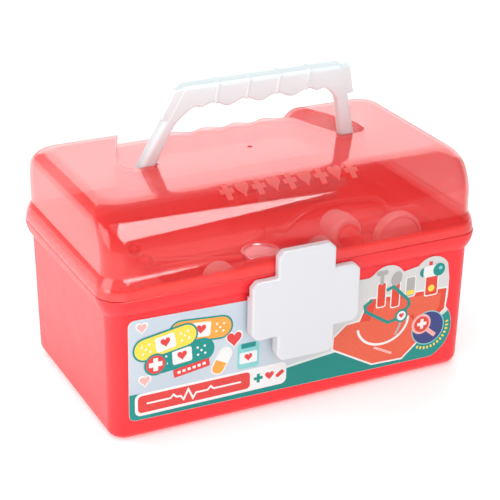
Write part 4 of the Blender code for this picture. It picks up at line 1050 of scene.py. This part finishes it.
labelArt = {
    # in millimetres on the label; shapes start with ink and layer, the rimmed ones have fixed layers
    "plasters": (("orange", 0, -64.5, 64.5, -5.0), ("teal", 4, -76.5, 50.0, 4.0),
                 ("yellow", 8, -87.0, 61.0, 9.0)),
    "dots": ((10.0, 2.4), (14.6, 2.4), (10.0, -2.4), (14.6, -2.4), (12.3, 0.0)),
    "rimmedHearts": (("red", -43.0, 53.0, 4.8), ("pink", -101.5, 73.0, 3.0), ("pink", -100.0, 38.0, 3.2)),
    "bars": (
        # half width, half height, corner, place and turn: ribbon, long plate with its red bar and short bar
        ("red", 9, 11.6, 2.7, 0.6, -70.5, 40.5, 8.0), ("white", 2, 49.4, 7.5, 3.8, -57.0, 23.0, 0.0),
        ("red", 3, 36.2, 5.7, 2.6, -68.3, 23.1, 0.0), ("red", 3, 3.0, 1.4, 1.35, -12.0, 23.0, 35.0),
        # capsule and jar
        ("white", 1, 9.4, 4.6, 4.5, -51.0, 40.5, 62.0), ("orange", 2, 8.6, 3.8, 3.7, -51.0, 40.5, 62.0),
        ("tealPale", 1, 7.2, 8.6, 2.4, -33.5, 40.4, 0.0), ("white", 2, 5.8, 3.8, 0.8, -33.5, 39.0, 0.0),
        ("teal", 2, 4.8, 1.7, 0.7, -33.5, 47.2, 0.0),
        # tools in the picture of the open case
        ("white", 6, 3.8, 7.2, 1.4, 77.2, 63.5, 0.0), ("grey", 7, 3.0, 6.4, 1.2, 77.2, 63.5, 0.0),
        ("yellow", 8, 2.6, 1.5, 0.4, 77.2, 59.6, 0.0), ("grey", 8, 1.2, 4.0, 0.8, 56.5, 73.0, 0.0),
        ("grey", 9, 4.0, 1.5, 1.4, 56.5, 77.0, 0.0), ("red", 8, 1.2, 2.2, 0.5, 91.0, 76.0, 0.0),
        ("white", 9, 5.6, 4.0, 2.2, 91.6, 71.5, 0.0),
    ),
    "rimmedBars": ((56.5, 62.0, 2.7, 8.0), (66.6, 60.5, 2.7, 8.5), (92.4, 61.5, 4.2, 6.5)),
    "discs": (
        # radius, steps and place: badge, tools, stethoscope's button, round picture
        ("teal", 13, 7.2, 40, -93.3, 48.0), ("red", 14, 5.9, 40, -93.3, 48.0),
        ("teal", 8, 3.2, 24, 86.6, 71.4), ("teal", 10, 4.3, 28, 97.2, 71.6),
        ("tealPale", 11, 1.3, 16, 98.2, 72.6), ("yellow", 8, 2.3, 20, 92.4, 59.5),
        ("teal", 11, 4.6, 28, 71.8, 44.6), ("white", 12, 3.2, 24, 71.8, 44.6),
        ("tealPale", 7, 11.9, 44, 92.1, 31.7), ("navy", 8, 11.2, 44, 92.1, 31.7),
        ("pink", 10, 7.0, 36, 86.9, 35.4), ("brick", 11, 5.4, 32, 87.2, 35.2),
    ),
    # half size, half bar and place
    "pluses": (("white", 15, 4.2, 1.5, -93.3, 48.0), ("teal", 3, 3.0, 1.0, -26.5, 23.0),
               ("white", 12, 3.4, 1.1, 87.4, 35.4)),
    # half width, half height and place
    "hearts": (("red", 3, 3.0, 2.8, -19.0, 23.0), ("red", 3, 2.6, 2.5, -33.5, 39.0),
               ("red", 13, 1.8, 1.7, 71.8, 44.6)),
    # width and places: pulse line, tool and stethoscope in the case, stroke in the round picture
    "strokes": (
        ("white", 4, 1.2, [(-99.0, 23.1), (-84.0, 23.1), (-82.0, 25.1), (-80.0, 23.1), (-77.5, 23.1),
                           (-75.5, 20.4), (-72.5, 26.6), (-69.5, 19.8), (-67.5, 23.1), (-60.0, 23.1),
                           (-58.0, 25.1), (-56.0, 23.1), (-38.0, 23.1)]),
        ("pink", 7, 1.6, [(53.3, 26.1), (66.4, 19.2)]),
        ("grey", 8, 1.6, [(72.0, 42.0), (70.8, 37.5), (68.0, 32.0)]),
        ("teal", 10, 2.1, [(50.5, 60.0), (45.4, 56.5), (46.0, 52.5), (62.3, 41.8), (70.5, 43.5), (77.0, 51.0),
                           (76.4, 54.5), (65.0, 66.0), (60.0, 64.5)]),
        ("pink", 9, 2.8, [(90.0, 32.0), (97.6, 25.4)]),
    ),
    # lid and floor of the pictured case, each with the layer of its white rim
    "sheets": (
        ("brick", 4, 2, [(41.0, 44.0), (48.4, 60.5), (104.0, 57.2), (103.2, 43.0), (88.0, 30.0),
                         (60.0, 36.0)]),
        ("salmon", 6, 3, [(24.6, 39.0), (24.2, 31.3), (52.5, 15.0), (73.8, 14.2), (90.0, 28.3), (78.0, 43.0),
                          (40.6, 46.5), (33.0, 46.0)]),
    ),
    "lining": [(49.0, 44.5), (53.0, 57.6), (100.0, 54.8), (99.4, 45.0), (86.0, 34.0), (80.5, 43.6)],
}


def printShapes():
    # every printed shape as (ink, layer, outline in millimetres)
    art = labelArt
    shapes = []

    def add(ink, layer, outline, x=0.0, y=0.0, angle=0.0):
        shapes.append((ink, layer, turned(outline, angle, x, y)))

    for ink, base, x, y, angle in art["plasters"]:
        add("teal", base + 1, roundedBar(20.7, 7.9, 7.8), x, y, angle)
        add(ink, base + 2, roundedBar(19.5, 6.7, 6.6), x, y, angle)
        add("white", base + 3, roundedBar(6.2, 4.8, 1.4), x, y, angle)
        add("red", base + 4, heartOutline(3.1, 3.0), x, y, angle)
        for side in (-1, 1):
            for dx, dy in art["dots"]:
                add("white", base + 3, turned(disc(0.75, 10), 0.0, side * dx, dy), x, y, angle)
    for ink, x, y, size in art["rimmedHearts"]:
        add("white", 1, heartOutline(size + 1.0, size + 1.0), x, y)
        add(ink, 2, heartOutline(size, size), x, y)
    for ink, layer, wide, high, corner, x, y, angle in art["bars"]:
        add(ink, layer, roundedBar(wide, high, corner), x, y, angle)
    for x, y, wide, high in art["rimmedBars"]:
        add("white", 6, roundedBar(wide + 0.8, high + 0.8, 1.6), x, y)
        add("brick", 7, roundedBar(wide, high, 1.2), x, y)
    for ink, layer, radius, steps, x, y in art["discs"]:
        add(ink, layer, disc(radius, steps), x, y)
    for ink, layer, half, bar, x, y in art["pluses"]:
        add(ink, layer, plusOutline(half, half, bar), x, y)
    for ink, layer, wide, high, x, y in art["hearts"]:
        add(ink, layer, heartOutline(wide, high), x, y)
    for ink, layer, width, places in art["strokes"]:
        add(ink, layer, stroke(places, width))
    for ink, layer, rimLayer, outline in art["sheets"]:
        add("white", rimLayer, offsetOutline(outline, -1.2))
        add(ink, layer, outline)
    add("salmon", 5, art["lining"])
    # dashes on the ribbon, the long plate's teal end, the capsule's white half and the pictured mirror
    for step in range(6):
        add("white", 10, roundedBar(1.0, 0.9, 0.3), -70.5 + (step - 2.5) * 3.2, 40.5 + (step - 2.5) * 0.45,
            8.0)
    add("teal", 1, arc(-106.0, 17.0, 3.8, 270.0, 180.0, 6) + [(-109.8, 30.8), (-96.0, 30.4), (-96.0, 13.1)])
    add("white", 3, [(-0.4, -3.8)] + arc(4.9, 0.0, 3.7, -90.0, 90.0, 12) + [(-0.4, 3.8)], -51.0, 40.5, 62.0)
    add("grey", 9, [(px * 0.72, py) for px, py in disc(5.0)], 66.9, 71.0, -22.0)
    # the stethoscope's tube, flattened
    tube = [(x, 43.0 + (y - 43.0) * 0.86) for x, y in arc(58.9, 43.0, 18.0, 188.0, 362.0, 26)]
    add("white", 7, stroke(tube, 1.6))
    # teal corner at the lower right, and the row of dashes round its picture
    add("teal", 1, arc(88.0, 30.5, 21.3, -68.0, 30.0, 24) + [(96.0, 34.0), (72.0, 13.0), (72.0, 10.9)])
    for step in range(13):
        angle = -118.0 + 10.4 * step
        add("yellow", 2, roundedBar(0.62, 0.95, 0.25), 92.1 + 14.3 * math.cos(angle * deg),
            31.7 + 14.3 * math.sin(angle * deg), angle + 90.0)
    return shapes


def makeLabel():
    s = label

    def printed(name, outline, layer, finish):
        height = s["thick"] / 2 + layer * s["layer"]
        return plate(name, outline, s["layer"], labelPlace @ at(0.0, 0.0, height), finish)

    pieces = [plate("labelSheet", labelOutline(), s["thick"], labelPlace, inks["white"]),
              printed("labelField", offsetOutline(labelOutline(), s["margin"]), 0, labelField)]
    half, reach = s["bossHalf"], s["bossReach"]
    for piece in pieces:
        cut(piece, block("bossHole", (-half, -0.09, latchSeat["z"] - reach),
                         (half, 0.0, latchSeat["z"] + reach)))
    for ink, layer, shape in printShapes():
        pieces.append(printed("printed", [(x * mm, y * mm) for x, y in shape], layer, inks[ink]))
    item = printed("plusItem", plusOutline(s["plusSize"], s["plusSize"], s["plusBar"]), 2, inks["tealPale"])
    pieces.append(repeated("plusRow", item, inks["tealPale"], s["pluses"], (s["plusX"], 0.0, s["plusZ"]),
                           (s["plusStep"], 0.0, 0.0)))
    return join("frontLabel", pieces)


settle(smooth(makeLabel(), 30.0, False), "case", "label_paper", "front_label")
print("label made")


# tray, pins and play tools

def dress(node, material):
    # a carried node whose shape is right gets a finished material
    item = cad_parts[node]
    item.data.materials.clear()
    item.data.materials.append(material)


for name in ("hinge_pin_left", "hinge_pin_right", "latch_pin"):
    dress(name, pinSteel)
dress("tool_tray", tubRed)


def alongX(x, y, z):
    return at(x, y, z) @ spin(90.0, "Y")


def alongY(x, y, z):
    return at(x, y, z) @ spin(90.0, "X")


def middleOf(node):
    low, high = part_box(node)
    return [(a + b) / 2 for a, b in zip(low, high)], low, high


thermometer = {"thick": 10.0 * mm, "width": 14.0 * mm, "bulb": 10.0 * mm, "edge": 2.0 * mm}


def makeThermometer():
    centre, low, high = middleOf("thermometer_body")
    t = thermometer
    half, bulb = t["width"] / 2, t["bulb"]
    right = high[0] - bulb
    outline = arc(low[0] + half, 0.0, half, 90.0, 270.0, 20) + [(right, -half), (right, half)]
    body = plate("thermometerBody", outline, t["thick"], at(0.0, centre[1], low[2] + t["thick"] / 2),
                 toolWhite)
    roundEdges(body, t["edge"], 4, 50.0)
    ball = lathe("bulb", arc(0.0, 0.0, bulb, 90.0, -90.0, 24), 48, at(right, centre[1], low[2] + bulb),
                 toolWhite)
    return weld(body, ball)


sticker = {"corner": 1.5 * mm, "thick": 0.2 * mm, "height": 0.12 * mm, "print": 0.05 * mm,
           "printHeight": 0.24 * mm}


def makeSticker():
    centre, low, high = middleOf("thermometer_label")

    def layer(outline, x, height, thick, ink):
        return plate("toolLabel", outline, thick, at(centre[0] + x, centre[1], low[2] + height), inks[ink])

    sheet = roundedBar((high[0] - low[0]) / 2, (high[1] - low[1]) / 2, sticker["corner"])
    pieces = [layer(sheet, 0.0, sticker["height"], sticker["thick"], "orange")]
    for outline, x, ink in ((plusOutline(2.2 * mm, 2.2 * mm, 0.8 * mm), -8.0 * mm, "white"),
                            (roundedBar(6.0 * mm, 1.0 * mm, 0.9 * mm), 3.5 * mm, "yellow")):
        pieces.append(layer(outline, x, sticker["printHeight"], sticker["print"], ink))
    return join("thermometerLabel", pieces)


hammer = {"grip": 7.5 * mm, "neck": 4.0 * mm, "head": 8.5 * mm, "waistShare": 0.75}


def makeHammer():
    grip, neck, face = hammer["grip"], hammer["neck"], hammer["head"]
    centre, low, high = middleOf("hammer_handle")
    length = high[0] - low[0]
    corners = [(0.0, length), (neck, length), (neck, length * 0.72), (grip * 0.8, length * 0.62),
               (grip, length * 0.3), (grip * 0.9, grip / 2), (grip / 2, 0.0), (0.0, 0.0)]
    shaft = turnedPart("hammerHandle", corners, 5.0 * mm, 6, 48, alongX(low[0], centre[1], low[2] + grip),
                       toolRed)
    centre, low, high = middleOf("hammer_head")
    half, waist = (high[1] - low[1]) / 2, face * hammer["waistShare"]
    corners = [(0.0, half), (face * 0.7, half), (face, half * 0.8), (waist, half * 0.45)]
    corners += [(x, -y) for x, y in reversed(corners)]
    return shaft, turnedPart("hammerHead", corners, 2.5 * mm, 6, 56, alongY(*centre), toolWhite)


otoscope = {
    "drum": 11.0 * mm, "rim": 9.5 * mm, "cone": 7.5 * mm, "tip": 3.0 * mm, "grip": 8.0 * mm, "neck": 5.0 * mm,
    "drumLength": 15.0 * mm, "rimLength": 5.0 * mm, "coneLength": 17.0 * mm, "gap": 0.3 * mm,
}


def makeOtoscope():
    radii = ("drum", "rim", "cone", "tip", "grip", "neck")
    drum, rim, cone, tip, grip, neck = (otoscope[key] for key in radii)
    rimLength, coneLength = otoscope["rimLength"], otoscope["coneLength"]
    centre, low, high = middleOf("otoscope_head")
    half = otoscope["drumLength"] / 2
    back = half + rimLength
    spot = alongY(centre[0], low[1] + half, centre[2])
    corners = [(0.0, half), (drum * 0.85, half), (drum, half * 0.7), (drum, -half * 0.7), (rim * 0.8, -half),
               (rim, -half - rimLength / 3), (rim, -back), (rim * 0.75, -back), (rim * 0.7, -half),
               (0.0, -half)]
    head = turnedPart("otoscopeHead", corners, 1.2 * mm, 4, 56, spot, toolWhite)
    start = half + otoscope["gap"]
    end = start + coneLength
    corners = [(0.0, end), (tip * 0.7, end), (tip, start + coneLength * 0.9),
               (cone * 0.75, start + coneLength * 0.3), (cone, start + coneLength * 0.2), (cone, start),
               (0.0, start)]
    ear = turnedPart("otoscopeCone", corners, 1.2 * mm, 4, 48, spot, toolRed)
    low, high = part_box("otoscope_handle")
    length = high[0] - low[0]
    corners = [(0.0, length), (grip * 0.6, length), (grip * 0.95, length * 0.93), (grip, length * 0.5),
               (neck, length * 0.12), (neck, 0.0), (0.0, 0.0)]
    place = alongX(low[0], spot.translation.y, spot.translation.z)
    return head, ear, turnedPart("otoscopeHandle", corners, 3.0 * mm, 6, 48, place, toolRed)


chest = {
    "radius": 16.5 * mm, "thick": 8.0 * mm, "recess": 4.2 * mm, "lip": 2.6 * mm, "button": 3.2 * mm,
    "travel": 1.0 * mm, "spare": 0.6 * mm, "gap": 0.3 * mm, "crown": 1.4 * mm,
}


def makeChest():
    c = chest
    spot = alongY(*middleOf("chest_piece")[0])
    half, radius = c["thick"] / 2, c["radius"]
    inner, floor = radius - c["lip"], half - c["recess"]
    corners = [(0.0, floor), (inner, floor), (inner, half), (radius * 0.94, half), (radius, half * 0.6),
               (radius, -half * 0.6), (radius * 0.9, -half), (0.0, -half)]
    body = turnedPart("chestPiece", corners, 1.0 * mm, 4, 72, spot, toolWhite)
    wide, foot = inner - c["gap"], floor + c["travel"] + c["spare"]
    top = foot + c["button"]
    corners = [(0.0, top), (wide * 0.6, top - c["crown"] * 0.25), (wide, top - c["crown"]), (wide, foot),
               (0.0, foot)]
    return body, turnedPart("chestButton", corners, 1.0 * mm, 4, 72, spot, toolWhite)


headset = {
    "tube": 2.5 * mm, "halfWidth": 15.0 * mm, "splayShare": 0.62, "stem": 2.3 * mm, "yokeShare": 1.5,
    "stemGap": 0.3 * mm, "stemClear": 2.5 * mm,
    # places along one arm, as shares of the length and of the half width
    "arm": ((0.03, 0.0), (0.08, 0.0), (0.2, 0.6), (0.4, 1.0), (0.75, 0.95), (0.93, 0.62)),
}


def makeHeadset():
    low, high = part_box("stethoscope_headset")
    tube, width = headset["tube"], headset["halfWidth"]
    x, y, z = high[0], (low[1] + high[1]) / 2, low[2] + tube
    reach = high[0] - low[0]
    route = [(x - reach * along, y + width * aside, z) for along, aside in headset["arm"]]
    tip = Vector((low[0], y + width * headset["splayShare"], z))
    near = [Vector((x, y, z))] + smoothPath(route, 60) + [tip]
    far = [Vector((p.x, 2 * y - p.y, p.z)) for p in near]
    body = sweep("headset", near, tube, 24, toolRed)
    weld(body, sweep("otherArm", far, tube * 0.999, 24, toolRed))
    socket = tube * headset["yokeShare"]
    yoke = rodAlongX("yoke", socket, x - reach * 0.06, x, y, z + socket - tube, 40, toolRed)
    return weld(body, roundEdges(yoke, 0.5 * mm, 3))


def makeEarTip(node):
    centre, low, high = middleOf(node)
    tip, length = (high[2] - low[2]) / 2, high[0] - low[0]
    corners = [(0.0, length), (tip * 0.55, length * 0.92), (tip, length * 0.55), (tip * 0.8, length * 0.2),
               (tip * 0.5, 0.0), (0.0, 0.0)]
    place = at(high[0], centre[1], centre[2]) @ spin(-90.0, "Y")
    return turnedPart(node.replace("_", "") + "Bud", corners, 2.0 * mm, 6, 40, place, toolRed)


def makeStem():
    # stiff stem from the yoke over the otoscope's handle to the back of the chest piece
    r, drum, grip = headset["stem"], otoscope["drum"], otoscope["grip"]
    yokeMiddle, yokeLow, yokeHigh = middleOf("stethoscope_headset")
    chestMiddle, _, chestHigh = middleOf("chest_piece")
    armY = middleOf("otoscope_handle")[0][1]
    deck = yokeLow[2]
    gap = headset["stemGap"]
    start = Vector((yokeHigh[0] + gap, yokeMiddle[1], deck + headset["tube"] * headset["yokeShare"]))
    over = deck + drum + grip + headset["stemClear"] + r
    end = Vector((chestMiddle[0], chestHigh[1] + gap, chestMiddle[2] + r * 4))
    route = [start + Vector((r * 2, 0.0, 0.0)), start + Vector((drum, 0.0, 0.0)),
             Vector(((start.x + end.x) / 2, start.y, (start.z + over) / 2)),
             Vector((end.x - r, armY + grip, over)),
             Vector((end.x, armY - otoscope["neck"], over - r / 2)), end + Vector((0.0, r * 2, 0.0))]
    return sweep("stethoscopeStem", [start] + smoothPath(route, 70) + [end], r, 24, toolRed)


mirror = {"thick": 5.0 * mm, "grip": 5.0 * mm}


def makeMirror():
    thick, grip = mirror["thick"], mirror["grip"]
    centre, low, high = middleOf("mirror_disc")
    radius = (high[0] - low[0]) / 2
    corners = [(0.0, thick * 0.8), (radius * 0.82, thick * 0.8), (radius * 0.88, thick),
               (radius * 0.96, thick),
               (radius, thick * 0.7), (radius, thick * 0.2), (radius * 0.95, 0.0), (0.0, 0.0)]
    place = at(centre[0], centre[1], low[2])
    face = turnedPart("mirrorDisc", corners, 0.6 * mm, 4, 72, place, mirrorSilver)
    centre, low, high = middleOf("mirror_handle")
    length = high[0] - low[0]
    corners = [(0.0, length), (thick * 0.45, length), (thick * 0.45, length * 0.9), (grip, length * 0.6),
               (grip, length * 0.08), (grip * 0.7, 0.0), (0.0, 0.0)]
    return face, turnedPart("mirrorHandle", corners, 2.5 * mm, 6, 40, alongX(low[0], centre[1], centre[2]),
                            toolRed)


syringe = {
    "outer": 9.0 * mm, "bore": 7.2 * mm, "nozzle": 3.0 * mm, "nozzleLength": 9.0 * mm, "wingHalf": 13.5 * mm,
    "wingHigh": 7.0 * mm, "wingThick": 2.5 * mm, "wingCorner": 6.0 * mm, "rod": 3.2 * mm, "thumb": 8.0 * mm,
    "thumbThick": 2.5 * mm, "standOff": 14.0 * mm, "headLength": 7.0 * mm, "gap": 0.3 * mm,
    "ticks": 9, "tickStart": 10.0 * mm, "tickStep": 5.0 * mm, "tickHalf": (0.25 * mm, 2.6 * mm),
    "tickDepth": (0.42 * mm, 0.02 * mm),
}


def makeSyringe():
    s = syringe
    centre, low, high = middleOf("syringe_barrel")
    x, y, z = low[0], centre[1], low[2] + s["outer"]
    outer, bore, nozzle, rod, thumb = (s[key] for key in ("outer", "bore", "nozzle", "rod", "thumb"))
    end, wall = high[0] - low[0], outer - bore
    length = end - s["nozzleLength"]
    shell = [(nozzle * 0.5, end), (nozzle, end), (nozzle, length), (outer, length), (outer, 0.0), (bore, 0.0),
             (bore, length - wall), (nozzle * 0.5, length - wall), (nozzle * 0.5, end)]
    barrel = lathe("syringeBarrel", shell, 56, alongX(x, y, z), barrelClear)
    wings = plate("wings", roundedBar(s["wingHalf"], s["wingHigh"], s["wingCorner"]), s["wingThick"],
                  at(x + s["wingThick"] / 2, y, z) @ spin(90.0, "Z") @ spin(90.0, "X"), barrelClear)
    cut(wings, rodAlongX("wingHole", (outer + bore) / 2, x - mm, x + s["wingThick"] + mm, y, z, 48))
    weld(barrel, wings)
    front = length - wall - s["gap"] - s["headLength"] * 0.3
    neck, back = front - s["headLength"], -s["standOff"]
    head = bore - s["gap"]
    corners = [(0.0, front), (head, front - s["headLength"] * 0.3), (head, neck), (rod, neck), (rod, back),
               (thumb, back), (thumb, back - s["thumbThick"]), (0.0, back - s["thumbThick"])]
    return barrel, turnedPart("syringePlunger", corners, 0.6 * mm, 3, 48, alongX(x, y, z), toolRed)


def makeTicks():
    # printed scale along the top of the barrel
    centre, low, _ = middleOf("syringe_barrel")
    (wide, deep), (sunk, flush) = syringe["tickHalf"], syringe["tickDepth"]
    y, top = centre[1], low[2] + 2 * syringe["outer"]
    item = block("tickItem", (-wide, y - deep, top - sunk), (wide, y + deep, top - flush), inks["navy"])
    return repeated("syringeTicks", item, inks["navy"], syringe["ticks"],
                    (low[0] + syringe["tickStart"], 0.0, 0.0),
                    (syringe["tickStep"], 0.0, 0.0))


settle(smooth(makeThermometer()), "case", "tool_white", "thermometer_body")
settle(smooth(makeSticker(), 30.0, False), "case", "sticker_orange", "thermometer_label")
tools = [*makeHammer(), *makeOtoscope(), *makeChest(), makeHeadset(), makeEarTip("ear_tip_left"),
         makeEarTip("ear_tip_right"), makeStem(), *makeMirror(), *makeSyringe()]
toolPlaces = (
    ("case", "tool_red", "hammer_handle"), ("case", "tool_white", "hammer_head"),
    ("case", "tool_white", "otoscope_head"), ("case", "tool_red", "otoscope_cone"),
    ("case", "tool_red", "otoscope_handle"), ("case", "tool_white", "chest_piece"),
    ("button", "tool_white", "chest_button"), ("case", "tool_red", "stethoscope_headset"),
    ("case", "tool_red", "ear_tip_left"), ("case", "tool_red", "ear_tip_right"),
    ("case", "tool_red", "stethoscope_stem"), ("case", "mirror_silver", "mirror_disc"),
    ("case", "tool_red", "mirror_handle"), ("case", "barrel_clear", "syringe_barrel"),
    ("plunger", "tool_red", "syringe_plunger"),
)
for piece, (body, slotName, node) in zip(tools, toolPlaces):
    settle(smooth(piece), body, slotName, node)
settle(makeTicks(), "case", "barrel_clear")
print("tools made")


# studio: floor, lights and camera

studio = {
    "floorHalf": 6.0, "floorZ": -0.4 * mm, "floorTone": (0.93, 0.93, 0.935), "world": 0.68,
    "sky": [(0.0, (1.0, 1.0, 1.0)), (0.36, (1.0, 1.0, 1.0)), (0.60, (0.42, 0.42, 0.42)),
            (1.0, (0.42, 0.42, 0.42))],
    # painted light: the floor glows, most beside the case's left end, lifting the shadow there
    "paintedGlow": (0.85, 0.26), "paintedGlowEnds": (-0.17, -0.10),
}
lamps = {
    # power, width and height, place, aim, turn, whether it lights up and whether it is mirrored; the two big
    # softboxes are split, so that their mirror image and their light are set apart
    "backShine": (36.0, (3.4, 1.7), (0.85, 1.75, 1.15), (0.0, 0.0, 0.1), 0.0, False, True),
    "leftShine": (38.0, (1.6, 1.4), (-1.9, -0.1, 0.7), (0.0, 0.0, 0.08), 0.0, False, True),
    "backLight": (24.0, (3.4, 1.7), (0.85, 1.75, 1.15), (0.0, 0.0, 0.1), 0.0, True, False),
    "leftLight": (16.0, (1.6, 1.4), (-1.9, -0.1, 0.7), (0.0, 0.0, 0.08), 0.0, True, False),
    "topSoftbox": (7.5, (1.4, 1.0), (-0.2, -0.9, 1.7), (0.0, 0.0, 0.08), 0.0, True, True),
    "frontFill": (4.0, (1.2, 0.8), (-0.45, -1.6, 0.55), (0.0, 0.0, 0.08), 0.0, True, False),
    # near card that only gives the long tapering highlight along the lid's front shoulder
    "highlightCard": (4.8, (0.38, 0.30), (-0.0135, -0.3625, 0.4491), (-0.1735, -0.1098, 0.1543), 28.2, False,
                      True),
}
camera = {
    # turn, height and roll in degrees, as fitted to the photograph, with distance, aim and lens
    "azimuth": -26.254, "elevation": 24.297, "roll": 0.612, "distance": 0.9932,
    "aim": (0.00132, 0.0, 0.07374),
    "lens": 113.3, "sensor": 36.0, "clip": (0.02, 30.0),
}


def makeSky():
    world = bpy.data.worlds.new("studioWorld")
    world.use_nodes = True
    tree = world.node_tree
    direction = addNode(tree, "ShaderNodeTexCoord").outputs["Generated"]
    across = addNode(tree, "ShaderNodeSeparateXYZ", {"Vector": direction}).outputs["X"]
    setSockets(tree, tree.nodes["Background"], {"Color": ramp(tree, across, studio["sky"]),
                                                "Strength": studio["world"]})
    bpy.context.scene.world = world


def makeFloor():
    # paper floor with painted light: it glows, most beside the case's left end, where it lifts the shadow
    material, tree, shader = newMaterial("floorPaper")
    deep = tuple(c * 0.992 for c in studio["floorTone"])
    tone = ramp(tree, noise(tree, 3.0, 2.0, 0.5), [(0.3, deep), (0.7, studio["floorTone"])])
    paintedGlow = remap(tree, ownAxis(tree, "X"), *studio["paintedGlow"], *studio["paintedGlowEnds"])
    setSockets(tree, shader, {"Base Color": tone, "Roughness": 0.6, "Emission Color": (1.0, 1.0, 1.0, 1.0),
                              "Emission Strength": paintedGlow})
    half, z = studio["floorHalf"], studio["floorZ"]
    bm = bmesh.new()
    bm.faces.new([bm.verts.new((x, y, z)) for x, y in ((-half, -half), (half, -half), (half, half),
                                                       (-half, half))])
    floor = keepBmesh("paperFloor", bm, material)


def makeLight(name, power, size, spot, aim, turn, diffuse, glossy):
    lamp = bpy.data.lights.new(name, "AREA")
    lamp.shape = "RECTANGLE"
    lamp.size, lamp.size_y = size
    lamp.energy = power
    item = addObject(name, lamp)
    item.visible_camera = False
    item.visible_diffuse = diffuse
    item.visible_glossy = glossy
    facing = (Vector(aim) - Vector(spot)).to_track_quat("-Z", "Y").to_matrix().to_4x4()
    item.matrix_world = Matrix.Translation(spot) @ facing @ spin(turn, "Z")


def makeCamera():
    azimuth, elevation, roll = (camera[key] * deg for key in ("azimuth", "elevation", "roll"))
    back = Vector((math.sin(azimuth) * math.cos(elevation), -math.cos(azimuth) * math.cos(elevation),
                   math.sin(elevation)))
    right = Vector((0.0, 0.0, 1.0)).cross(back).normalized()
    up = back.cross(right)
    across = right * math.cos(roll) + up * math.sin(roll)
    upward = up * math.cos(roll) - right * math.sin(roll)
    spot = Vector(camera["aim"]) + back * camera["distance"]
    view = bpy.data.cameras.new("photoView")
    view.lens = camera["lens"]
    view.sensor_width = camera["sensor"]
    view.clip_start, view.clip_end = camera["clip"]
    item = addObject("photoView", view)
    item.matrix_world = Matrix([(*row, 0.0) for row in (across, upward, back)] + [(*spot, 1.0)]).transposed()
    bpy.context.scene.camera = item


bpy.context.scene.view_settings.view_transform = "Standard"
makeSky()
makeFloor()
for name, settings in lamps.items():
    makeLight(name, *settings)
makeCamera()
print("studio ready")

bpy.context.view_layer.update()
